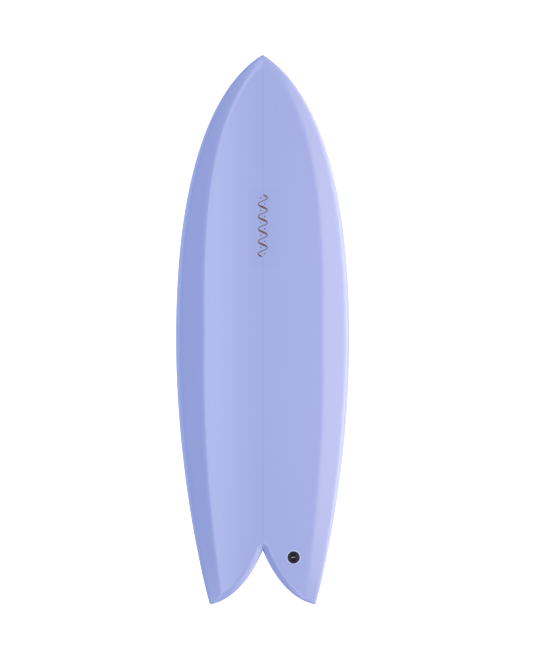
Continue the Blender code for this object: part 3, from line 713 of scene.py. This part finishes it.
def screw_frame(place, side, tab_y):
    """A grub screw's frame on its box, z out of its hole. Its tip stops short of the tab's flank."""
    tilt = math.radians(SCREW_TILT)
    tip_x = TAB_THICKNESS / 2 + GAP + SCREW_RADIUS * math.cos(tilt)
    tip_z = -SCREW_SINK - SCREW_LENGTH * math.cos(tilt)
    lean = Matrix.Rotation(side * tilt, 4, "Y")
    return place @ Matrix.Translation((side * tip_x, tab_y, tip_z)) @ lean


def make_box(name, place, side):
    """The box with its two sockets, and a hole for the screw beside each."""
    box = slot_block(f"fin_box_{name}_body", BOX_WIDTH, BOX_LENGTH, -BOX_FLANGE, 0)
    stepped_down(box, -BOX_FLANGE, BOX_RIM, BOX_DEPTH - BOX_FLANGE)
    bevelled(box, level(0), BOX_EDGE, 3)
    for tab_y in (TAB_SPACING / 2, -TAB_SPACING / 2):
        size = TAB_THICKNESS + 2 * GAP, TAB_LENGTH + 2 * GAP
        socket = slot_block("socket", *size, SOCKET_FLOOR - BOX_DEPTH, BOX_FLANGE)
        socket.data.transform(Matrix.Translation((0, tab_y, 0)))
        cut(box, socket)
        hole = rod("screw_hole", SCREW_RADIUS + GAP, -SCREW_RADIUS, 2 * SCREW_LENGTH, PIN_STEPS)
        hole.data.transform(screw_frame(Matrix.Identity(4), side, tab_y))
        cut(box, hole)
    return smooth(placed(box, place))


def make_screw(name, place):
    """A threaded grub screw with a hexagon socket."""
    z = SCREW_LENGTH * (1 - np.linspace(0, 1, SCREW_ROWS + 1))[:, None]
    turn = -math.tau * np.linspace(0, 1, SCREW_STEPS + 1)[None, :]
    phase = (z / THREAD_PITCH - turn / math.tau) % 1.0
    ridge = np.abs(2 * phase - 1) * np.clip(np.minimum(z, SCREW_LENGTH - z) / THREAD_PITCH, 0, 1)
    radius = SCREW_RADIUS - THREAD_DEPTH * (1 - ridge)
    points = np.stack((radius * np.cos(turn), radius * np.sin(turn), z + 0 * turn), axis=2)
    screw = cleaned(formed(name, points))
    pick(screw, "edges", lambda edge: edge.is_boundary)
    bpy.ops.mesh.fill_holes(sides=0)
    done()
    cleaned(screw)
    corner = HEX_WIDTH / 2 / math.cos(math.pi / 6)
    hexagon = rod("hexagon", corner, SCREW_LENGTH - HEX_DEPTH, 2 * SCREW_LENGTH, 6)
    return smooth(placed(cut(screw, hexagon), place))


# ---------------------------------------------------------------- keel fins

def fin_edges():
    """The leading and the trailing edge, each as y against depth from the base to the tip."""
    front, rear = np.array((FIN_BASE / 2, 0.0)), np.array((-FIN_BASE / 2, 0.0))
    lift = math.radians(FIN_LEAD_ANGLE)
    tip = np.array((FIN_BASE / 2 - FIN_RAKE, FIN_DEPTH))
    handle = FIN_LEAD_REACH * np.array((-math.sin(lift), math.cos(lift)))
    lead = bezier(front, front + handle, tip + (FIN_TIP_REACH, 0), tip)
    trail = bezier(rear, rear + FIN_CUTAWAY, tip + FIN_HEEL, tip)
    return lead, trail


def make_fin(name, place, side):
    """A foiled blade, flat towards the stringer, with a round edge and two tabs joined to its base."""
    lead, trail = fin_edges()
    shares = np.sin(np.linspace(0, math.pi / 2, FIN_LEVELS + 1))
    z = (FIN_LIFT + (FIN_DEPTH - FIN_TIP_CUT - FIN_LIFT) * shares)[:, None]
    front, rear = np.interp(z, lead[:, 1], lead[:, 0]), np.interp(z, trail[:, 1], trail[:, 0])
    t = eased(FIN_STEPS)[None, :]
    thick = FIN_BASE_THICKNESS + (FIN_TIP_THICKNESS - FIN_BASE_THICKNESS) * z / FIN_DEPTH
    lean = z * math.tan(math.radians(FIN_CANT)) - FIN_BASE_THICKNESS / 2
    fall = 1 - np.maximum((t - FIN_THICKEST) / (1 - FIN_THICKEST), 0) ** 2
    bulge = FIN_EDGE + (thick - FIN_EDGE) * quarter_round(t / FIN_THICKEST) * fall
    edge = quarter_round(np.minimum(t, 1 - t) * (front - rear) / FIN_EDGE_ROUND)
    foiled = lean + FIN_EDGE / 2 + (bulge - FIN_EDGE / 2) * edge
    flat = lean + FIN_EDGE / 2 * (1 - edge)
    y = front + (rear - front) * t
    x = -side * np.concatenate((foiled, flat[:, -2::-1]), axis=1)
    around = np.concatenate((y, y[:, -2::-1]), axis=1)
    fin = cleaned(formed(f"keel_fin_{name}", np.stack((x, around, z + 0 * x), axis=2)))
    pick(fin, "edges", lambda edge: edge.is_boundary)
    bpy.ops.mesh.fill_holes(sides=0)
    done()
    cleaned(fin)
    for tab_y in (TAB_SPACING / 2, -TAB_SPACING / 2):
        tab = slot_block("tab", TAB_THICKNESS, TAB_LENGTH, -TAB_REACH, FIN_LIFT + TAB_ROOT)
        tab.data.transform(Matrix.Translation((0, tab_y, 0)))
        cut(fin, tab, "UNION")
    return smooth(placed(fin, place))


# ---------------------------------------------------------------- printed mark

def on_deck(name, x, y):
    """A thin printed shape on the deck, from its plan points, rows by columns."""
    flat = np.stack((np.abs(x), y), axis=2).reshape(-1, 2)
    z = deck_z(flat, *edge_distances(flat)).reshape(x.shape) + MARK_SHEET / 2
    obj = formed(name, np.stack((x, y, z), axis=2))
    return placed(modified(cleaned(obj), "SOLIDIFY", thickness=MARK_SHEET, offset=-1), Matrix.Identity(4))


def make_mark():
    """A running wave drawn with a broad pen, thick where it runs one way and thin where it runs back."""
    run = np.linspace(0, 1, MARK_STEPS + 1)
    phase = math.tau * MARK_WAVES * run
    x = MARK_HALF_WIDTH * np.sin(phase)
    y = MARK_Y + MARK_LENGTH * (0.5 - run)
    slope = MARK_HALF_WIDTH * math.tau * MARK_WAVES / MARK_LENGTH * np.cos(phase)
    steep = np.sqrt(1 + slope**2)
    pen = MARK_THIN + (MARK_THICK - MARK_THIN) * np.clip(np.cos(phase), 0, 1) ** 1.5
    ends = np.minimum(1, np.minimum(run, 1 - run) * MARK_STEPS / 6)
    offset = (pen * ends / 2)[:, None] * np.linspace(-1, 1, 3)[None, :]
    wave = on_deck("deck_mark_wave", x[:, None] + offset / steep[:, None],
                   y[:, None] + offset * (slope / steep)[:, None])
    pieces = [wave]
    for i in range(2 * MARK_WAVES):
        turn = math.pi / 2 + math.pi * i
        side = -1 if i % 2 == 0 else 1
        middle_x = side * MARK_HALF_WIDTH * MARK_DOT_PLACE
        middle_y = MARK_Y + MARK_LENGTH * (0.5 - turn / (math.tau * MARK_WAVES))
        around = math.tau * np.linspace(0, 1, 25)[:, None]
        radius = MARK_DOT / 2 * np.array((0.0, 1.0))[None, :]
        x, y = middle_x + radius * np.cos(around), middle_y + radius * np.sin(around)
        pieces.append(on_deck(f"dot_{i}", x, y))
    bpy.ops.object.select_all(action="DESELECT")
    for piece in pieces:
        piece.select_set(True)
    bpy.context.view_layer.objects.active = wave
    bpy.ops.object.join()
    return made("deck_mark")


# ---------------------------------------------------------------- finishes

def tone(red, green, blue):
    """A colour written as it looks on a screen, 0 to 255, in the linear values that shaders take."""
    shares = [value / 255 for value in (red, green, blue)]
    return tuple(s / 12.92 if s <= 0.04045 else ((s + 0.055) / 1.055) ** 2.4 for s in shares) + (1.0,)


LAVENDER = tone(159, 173, 233)
STRINGER_TINT = tone(149, 168, 225)
PAPER_TINT = tone(156, 171, 231)
BEAD_TINT = tone(186, 200, 247)
INK_BROWN = tone(92, 52, 18)
PLUG_NAVY = tone(14, 17, 34)
STEEL = tone(176, 172, 166)
BOX_PLASTIC = tone(205, 209, 228)
FOAM = tone(232, 230, 220)
TIMBER_LIGHT = tone(206, 171, 126)
TIMBER_DARK = tone(150, 108, 68)


def wire(tree, kind, inputs=None, **settings):
    """Adds a node, with its settings, and its inputs set or linked."""
    node = tree.nodes.new(kind)
    for key, value in settings.items():
        setattr(node, key, value)
    for key, value in (inputs or {}).items():
        if isinstance(value, bpy.types.NodeSocket):
            tree.links.new(value, node.inputs[key])
        else:
            node.inputs[key].default_value = value
    return node


def maths(tree, operation, first, second=0.0):
    return wire(tree, "ShaderNodeMath", {0: first, 1: second}, operation=operation).outputs[0]


def ramp(tree, value, low, high, at_low, at_high):
    """The value's smooth way from low to high, as at_low to at_high."""
    ends = {"Value": value, "From Min": low, "From Max": high, "To Min": at_low, "To Max": at_high}
    return wire(tree, "ShaderNodeMapRange", ends, interpolation_type="SMOOTHSTEP").outputs["Result"]


def blend_colours(tree, share, first, second):
    mix = wire(tree, "ShaderNodeMix", data_type="RGBA")
    for socket, value in ((mix.inputs[0], share), (mix.inputs[6], first), (mix.inputs[7], second)):
        if isinstance(value, bpy.types.NodeSocket):
            tree.links.new(value, socket)
        else:
            socket.default_value = value
    return mix.outputs[2]


def new_group(name, inputs, outputs):
    group = bpy.data.node_groups.new(name, "ShaderNodeTree")
    for socket, kind in inputs.items():
        group.interface.new_socket(name=socket, in_out="INPUT", socket_type=f"NodeSocket{kind}")
    for socket, kind in outputs.items():
        group.interface.new_socket(name=socket, in_out="OUTPUT", socket_type=f"NodeSocket{kind}")
    return group, wire(group, "NodeGroupInput").outputs, wire(group, "NodeGroupOutput").inputs


def drift_group():
    """A colour that is a little lighter and darker from patch to patch."""
    inputs = {"Place": "Vector", "Colour": "Color", "Patch": "Float", "Amount": "Float"}
    group, given, out = new_group("colour_drift", inputs, {"Colour": "Color"})
    scale = maths(group, "DIVIDE", 1.0, given["Patch"])
    noise = wire(group, "ShaderNodeTexNoise", {"Vector": given["Place"], "Scale": scale, "Detail": 3.0})
    swing = maths(group, "SUBTRACT", noise.outputs[0], 0.5)
    swing = maths(group, "MULTIPLY", maths(group, "MULTIPLY", swing, 4.0), given["Amount"])
    lit = wire(group, "ShaderNodeVectorMath", {0: given["Colour"]}, operation="SCALE")
    group.links.new(maths(group, "ADD", swing, 1.0), lit.inputs["Scale"])
    group.links.new(lit.outputs[0], out["Colour"])
    return group


def haze_group():
    """A roughness with fine scuffs and slow haze in it."""
    inputs = {"Place": "Vector", "Roughness": "Float", "Patch": "Float", "Amount": "Float"}
    group, given, out = new_group("polish_haze", inputs, {"Roughness": "Float"})
    scale = maths(group, "DIVIDE", 1.0, given["Patch"])
    noise = wire(group, "ShaderNodeTexNoise", {"Vector": given["Place"], "Scale": scale, "Detail": 6.0})
    swing = maths(group, "MULTIPLY", maths(group, "SUBTRACT", noise.outputs[0], 0.5), given["Amount"])
    group.links.new(maths(group, "ADD", given["Roughness"], swing), out["Roughness"])
    return group


def weave_group():
    """Plain glass cloth: the height of its threads, over and under, along x and y."""
    inputs = {"Place": "Vector", "Pitch": "Float"}
    group, given, out = new_group("glass_cloth", inputs, {"Height": "Float"})
    split = wire(group, "ShaderNodeSeparateXYZ", {0: given["Place"]}).outputs
    rate = maths(group, "DIVIDE", math.pi, given["Pitch"])
    threads = [maths(group, "SINE", maths(group, "MULTIPLY", split[i], rate)) for i in (0, 1)]
    height = maths(group, "MULTIPLY", *threads)
    group.links.new(maths(group, "ADD", maths(group, "MULTIPLY", height, 0.5), 0.5), out["Height"])
    return group


def grain_group():
    """The fine pebbling of a moulded or sawn surface: its height, and a mask of its darker pits."""
    inputs = {"Place": "Vector", "Grain": "Float"}
    group, given, out = new_group("fine_grain", inputs, {"Height": "Float", "Pits": "Float"})
    scale = maths(group, "DIVIDE", 1.0, given["Grain"])
    noise = wire(group, "ShaderNodeTexNoise", {"Vector": given["Place"], "Scale": scale, "Detail": 4.0})
    group.links.new(noise.outputs[0], out["Height"])
    group.links.new(ramp(group, noise.outputs[0], 0.35, 0.5, 1.0, 0.0), out["Pits"])
    return group


GROUPS = {"drift": drift_group(), "haze": haze_group(), "weave": weave_group(), "grain": grain_group()}


def shared(tree, name, **inputs):
    """One of the shared effects, placed in this material with its own values."""
    node = wire(tree, "ShaderNodeGroup", node_tree=GROUPS[name])
    for key, value in inputs.items():
        if isinstance(value, bpy.types.NodeSocket):
            tree.links.new(value, node.inputs[key])
        else:
            node.inputs[key].default_value = value
    return node.outputs


def new_finish(name, **constants):
    """A material with these values on its shader's own sockets, and its object coordinates."""
    material = bpy.data.materials.new(name)
    material.use_nodes = True
    tree = material.node_tree
    shader = tree.nodes["Principled BSDF"]
    for key, value in constants.items():
        shader.inputs[key.replace("_", " ")].default_value = value
    return material, tree, shader.inputs, wire(tree, "ShaderNodeTexCoord").outputs["Object"]


def bumped(tree, sockets, height, distance, strength=1.0):
    bump = wire(tree, "ShaderNodeBump", {"Height": height, "Distance": distance, "Strength": strength})
    tree.links.new(bump.outputs[0], sockets["Normal"])


def hazed(tree, sockets, place, roughness, patch, amount):
    """Roughness with haze and scuffs in patches of this size."""
    haze = shared(tree, "haze", Place=place, Roughness=roughness, Patch=patch, Amount=amount)
    tree.links.new(haze["Roughness"], sockets["Roughness"])


def laminate_finish():
    """Tinted resin over glass cloth, with the stringer and, fainter, the paper showing through it."""
    material, tree, sockets, place = new_finish(
        "tinted_laminate", Coat_Weight=1.0, Coat_Roughness=0.16, Coat_IOR=1.5, Specular_IOR_Level=0.3
    )
    split = wire(tree, "ShaderNodeSeparateXYZ", {0: place}).outputs
    off = maths(tree, "ABSOLUTE", split[0])
    nose_end = (BOARD @ Vector((0, HALF_LENGTH - STRINGER_FROM_NOSE, apex(HALF_LENGTH)))).y
    tail_end = (BOARD @ Vector((0, NOTCH_Y + STRINGER_FROM_NOTCH, apex(NOTCH_Y)))).y
    line = ramp(tree, off, STRINGER / 2 - GAP, STRINGER / 2 + 2 * GAP, 1.0, 0.0)
    at_nose = ramp(tree, split[1], nose_end - STRINGER_NOSE_FADE, nose_end, 1.0, 0.0)
    at_tail = ramp(tree, split[1], tail_end, tail_end + STRINGER_TAIL_FADE, 0.0, 1.0)
    line = maths(tree, "MULTIPLY", maths(tree, "MULTIPLY", line, at_nose), at_tail)
    middle = BOARD @ Vector((PAPER_X, PAPER_Y, deck_z(*deck_point(PAPER_X, PAPER_Y))[0]))
    beside = maths(tree, "ABSOLUTE", maths(tree, "SUBTRACT", split[0], middle.x))
    ahead = maths(tree, "ABSOLUTE", maths(tree, "SUBTRACT", split[1], middle.y))
    paper = ramp(tree, beside, PAPER_HALF_WIDTH - PAPER_SIDE_FADE, PAPER_HALF_WIDTH, 1.0, 0.0)
    ends = ramp(tree, ahead, PAPER_HALF_LENGTH - PAPER_END_FADE, PAPER_HALF_LENGTH, 1.0, 0.0)
    paper = maths(tree, "MULTIPLY", paper, ends)
    paper = maths(tree, "MULTIPLY", paper, ramp(tree, split[2], middle.z - 0.030, middle.z - 0.020, 0.0, 1.0))
    slow = shared(tree, "drift", Place=place, Colour=LAVENDER, Patch=0.30, Amount=0.010)["Colour"]
    slow = shared(tree, "drift", Place=place, Colour=slow, Patch=0.012, Amount=0.006)["Colour"]
    papered = blend_colours(tree, paper, slow, PAPER_TINT)
    lined = blend_colours(tree, line, papered, STRINGER_TINT)
    cloth = shared(tree, "weave", Place=place, Pitch=0.0007)["Height"]
    thread = maths(tree, "MULTIPLY", cloth, 0.02)
    tree.links.new(blend_colours(tree, thread, lined, tone(255, 255, 255)), sockets["Base Color"])
    hazed(tree, sockets, place, 0.42, 0.02, 0.10)
    fine = shared(tree, "grain", Place=place, Grain=0.004)["Height"]
    bumped(tree, sockets, maths(tree, "ADD", fine, maths(tree, "MULTIPLY", cloth, 0.3)), 0.00001)
    return material


def bead_finish():
    material, tree, sockets, place = new_finish("resin_bead", Coat_Weight=1.0, Coat_Roughness=0.08)
    colour = shared(tree, "drift", Place=place, Colour=BEAD_TINT, Patch=0.004, Amount=0.02)["Colour"]
    tree.links.new(colour, sockets["Base Color"])
    hazed(tree, sockets, place, 0.25, 0.003, 0.1)
    bumped(tree, sockets, shared(tree, "grain", Place=place, Grain=0.002)["Height"], 0.00002)
    return material


def ink_finish():
    material, tree, sockets, place = new_finish("printed_ink", Coat_Weight=1.0, Coat_Roughness=0.16)
    pits = shared(tree, "grain", Place=place, Grain=0.0012)["Pits"]
    brown = shared(tree, "drift", Place=place, Colour=INK_BROWN, Patch=0.02, Amount=0.10)["Colour"]
    colour = blend_colours(tree, maths(tree, "MULTIPLY", pits, 0.12), brown, LAVENDER)
    tree.links.new(colour, sockets["Base Color"])
    hazed(tree, sockets, place, 0.45, 0.004, 0.1)
    return material


def plug_finish():
    """Navy-black moulded plastic with a fine satin texture."""
    material, tree, sockets, place = new_finish("moulded_plug", Specular_IOR_Level=0.4)
    colour = shared(tree, "drift", Place=place, Colour=PLUG_NAVY, Patch=0.006, Amount=0.12)["Colour"]
    tree.links.new(colour, sockets["Base Color"])
    hazed(tree, sockets, place, 0.38, 0.002, 0.16)
    bumped(tree, sockets, shared(tree, "grain", Place=place, Grain=0.0006)["Height"], 0.00003)
    return material


def steel_finish():
    """Stainless steel with fine drawn lines."""
    material, tree, sockets, place = new_finish("drawn_stainless", Metallic=1.0)
    colour = shared(tree, "drift", Place=place, Colour=STEEL, Patch=0.003, Amount=0.06)["Colour"]
    tree.links.new(colour, sockets["Base Color"])
    drawn = wire(tree, "ShaderNodeMapping", {"Vector": place, "Scale": (1.0, 12.0, 12.0)}).outputs[0]
    hazed(tree, sockets, drawn, 0.30, 0.004, 0.25)
    bumped(tree, sockets, shared(tree, "grain", Place=drawn, Grain=0.003)["Height"], 0.00001)
    return material


def box_finish():
    """Pale nylon, sanded flush with the hull, with a little of the tint left in its pores."""
    material, tree, sockets, place = new_finish("sanded_nylon")
    grain = shared(tree, "grain", Place=place, Grain=0.0009)
    colour = shared(tree, "drift", Place=place, Colour=BOX_PLASTIC, Patch=0.01, Amount=0.03)["Colour"]
    worn = maths(tree, "MULTIPLY", grain["Pits"], 0.25)
    tree.links.new(blend_colours(tree, worn, colour, LAVENDER), sockets["Base Color"])
    hazed(tree, sockets, place, 0.5, 0.003, 0.2)
    bumped(tree, sockets, grain["Height"], 0.00003)
    return material


def fin_finish():
    """Layers of tinted glass cloth, sanded to a gloss, with the weave showing in it."""
    material, tree, sockets, place = new_finish("glass_fin", Coat_Weight=1.0, Coat_Roughness=0.10)
    cloth = shared(tree, "weave", Place=place, Pitch=0.0011)["Height"]
    tint = shared(tree, "drift", Place=place, Colour=tone(158, 172, 230), Patch=0.03, Amount=0.03)["Colour"]
    colour = blend_colours(tree, maths(tree, "MULTIPLY", cloth, 0.22), tint, tone(205, 214, 250))
    tree.links.new(colour, sockets["Base Color"])
    hazed(tree, sockets, place, 0.35, 0.008, 0.12)
    bumped(tree, sockets, cloth, 0.00002)
    return material


def foam_finish():
    """Shaped polyurethane foam: open cells and faint darker pits."""
    material, tree, sockets, place = new_finish("shaped_foam")
    cells = wire(tree, "ShaderNodeTexVoronoi", {"Vector": place, "Scale": 1400.0}).outputs["Distance"]
    grain = shared(tree, "grain", Place=place, Grain=0.003)
    colour = shared(tree, "drift", Place=place, Colour=FOAM, Patch=0.08, Amount=0.03)["Colour"]
    dark = maths(tree, "MULTIPLY", grain["Pits"], 0.15)
    tree.links.new(blend_colours(tree, dark, colour, tone(214, 206, 182)), sockets["Base Color"])
    hazed(tree, sockets, place, 0.85, 0.01, 0.15)
    bumped(tree, sockets, cells, 0.0003)
    return material


def timber_finish():
    """Basswood with its grain along the board."""
    material, tree, sockets, place = new_finish("stringer_timber")
    along = wire(tree, "ShaderNodeMapping", {"Vector": place, "Scale": (30.0, 1.2, 30.0)}).outputs[0]
    rings = wire(tree, "ShaderNodeTexNoise", {"Vector": along, "Scale": 6.0, "Detail": 8.0}).outputs[0]
    colour = blend_colours(tree, ramp(tree, rings, 0.35, 0.65, 0.0, 1.0), TIMBER_LIGHT, TIMBER_DARK)
    colour = shared(tree, "drift", Place=place, Colour=colour, Patch=0.05, Amount=0.04)["Colour"]
    tree.links.new(colour, sockets["Base Color"])
    hazed(tree, sockets, along, 0.65, 0.2, 0.2)
    bumped(tree, sockets, rings, 0.0001)
    return material


def finish(obj, material):
    """Gives the object this material alone, on its own slots."""
    if not obj.material_slots:
        obj.data.materials.append(material)
    for slot in obj.material_slots:
        slot.material = material
    return obj


# ---------------------------------------------------------------- stage

def make_camera():
    data = bpy.data.cameras.new("camera")
    data.sensor_width = SENSOR
    data.lens = SENSOR * CAMERA_AWAY / VIEW_HEIGHT
    data.clip_end = 2 * CAMERA_AWAY
    camera = bpy.data.objects.new("camera", data)
    bpy.context.scene.collection.objects.link(camera)
    middle = Vector(VIEW_MIDDLE) + Vector((0, 0, CAMERA_AWAY))
    camera.matrix_world = BOARD @ Matrix.Translation(middle)
    bpy.context.scene.camera = camera


def make_floor():
    """A white floor that can be seen from above only, so that the underside can be looked at too."""
    bpy.ops.object.select_all(action="DESELECT")
    bpy.ops.mesh.primitive_plane_add(size=FLOOR_SIZE, location=(0, 0, -FLOOR_DROP))
    floor = made("floor")
    material, tree, sockets, _ = new_finish("white_floor", Roughness=0.9, Specular_IOR_Level=0.0)
    sockets["Base Color"].default_value = (0.9, 0.9, 0.9, 1.0)
    sockets["Emission Color"].default_value = (1.0, 1.0, 1.0, 1.0)
    seen = wire(tree, "ShaderNodeLightPath").outputs["Is Camera Ray"]
    glow = maths(tree, "ADD", FLOOR_BOUNCE, maths(tree, "MULTIPLY", seen, FLOOR_GLOW - FLOOR_BOUNCE))
    tree.links.new(glow, sockets["Emission Strength"])
    shader = tree.nodes["Principled BSDF"].outputs[0]
    behind = wire(tree, "ShaderNodeNewGeometry").outputs["Backfacing"]
    clear = wire(tree, "ShaderNodeBsdfTransparent").outputs[0]
    mixed = wire(tree, "ShaderNodeMixShader", {0: behind, 1: shader, 2: clear}).outputs[0]
    tree.links.new(mixed, tree.nodes["Material Output"].inputs["Surface"])
    finish(floor, material)


def make_world():
    world = bpy.data.worlds.new("studio")
    world.use_nodes = True
    tree = world.node_tree
    seen = wire(tree, "ShaderNodeLightPath").outputs["Is Camera Ray"]
    strength = maths(tree, "ADD", AMBIENT, maths(tree, "MULTIPLY", seen, 1.0 - AMBIENT))
    colour = blend_colours(tree, seen, AMBIENT_COLOUR, (1.0, 1.0, 1.0, 1.0))
    background = tree.nodes["Background"]
    tree.links.new(strength, background.inputs["Strength"])
    tree.links.new(colour, background.inputs["Color"])
    bpy.context.scene.world = world


def softbox(name, lean, ahead, wide, long, colour, radiance):
    """A soft panel over the board, leaning to one side about its length."""
    data = bpy.data.lights.new(name, "AREA")
    data.shape = "RECTANGLE"
    data.size, data.size_y = wide, long
    data.color = colour
    data.energy = radiance * math.pi * wide * long
    light = bpy.data.objects.new(name, data)
    bpy.context.scene.collection.objects.link(light)
    turn = Matrix.Rotation(math.radians(lean), 4, "Y")
    light.matrix_world = BOARD @ turn @ Matrix.Translation((0, ahead, LIGHT_AWAY))
    light.visible_camera = False


def make_lights():
    for panel in PANELS:
        softbox(*panel)


# ---------------------------------------------------------------- the board

def fin_place(side):
    """A fin box's frame on the bottom, z out of the board and turned by the toe-in."""
    surface = surface_frame(side * BOX_X, BOX_Y, bottom_z, -1)
    return surface @ Matrix.Rotation(-side * math.radians(TOE_IN), 4, "Z")


def fitted(obj, node, body, material):
    """The piece stands for its frame node, rides on its body and has its finish."""
    finish(obj, material)
    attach(obj, body)
    if node:
        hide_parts(node)


def build():
    bpy.context.scene.view_settings.view_transform = "Standard"
    make_camera()
    make_world()
    make_floor()
    make_lights()

    laminate, steel = laminate_finish(), steel_finish()
    nylon, glass = box_finish(), fin_finish()
    cup_place = surface_frame(CUP_X, CUP_Y, deck_z, 1)
    sides = {"left": -1, "right": 1}
    places = {name: fin_place(side) for name, side in sides.items()}
    deck, bottom = make_laminates(cup_place, places.values())
    fitted(deck, "deck_skin", "board", laminate)
    fitted(bottom, "bottom_skin", "board", laminate)
    fitted(make_cup(cup_place), "leash_cup", "board", plug_finish())
    fitted(make_pin(cup_place), "leash_pin", "board", steel)
    fitted(make_bead(cup_place), None, "board", bead_finish())
    fitted(make_mark(), None, "board", ink_finish())
    for name, side in sides.items():
        box = make_box(name, places[name], side)
        fitted(box, f"fin_box_{name}", "board", nylon)
        fitted(make_fin(name, places[name], side), f"fin_{name}", f"fin_{name}", glass)
        for end, tab_y in (("front", TAB_SPACING / 2), ("rear", -TAB_SPACING / 2)):
            node = f"fin_screw_{name}_{end}"
            screw = make_screw(f"{node}_thread", screw_frame(places[name], side, tab_y))
            fitted(screw, node, node, steel)
    foam = foam_finish()
    finish(frame["nodes"]["blank_left"], foam)
    finish(frame["nodes"]["blank_right"], foam)
    finish(frame["nodes"]["stringer"], timber_finish())


PLAN = plan()
build()
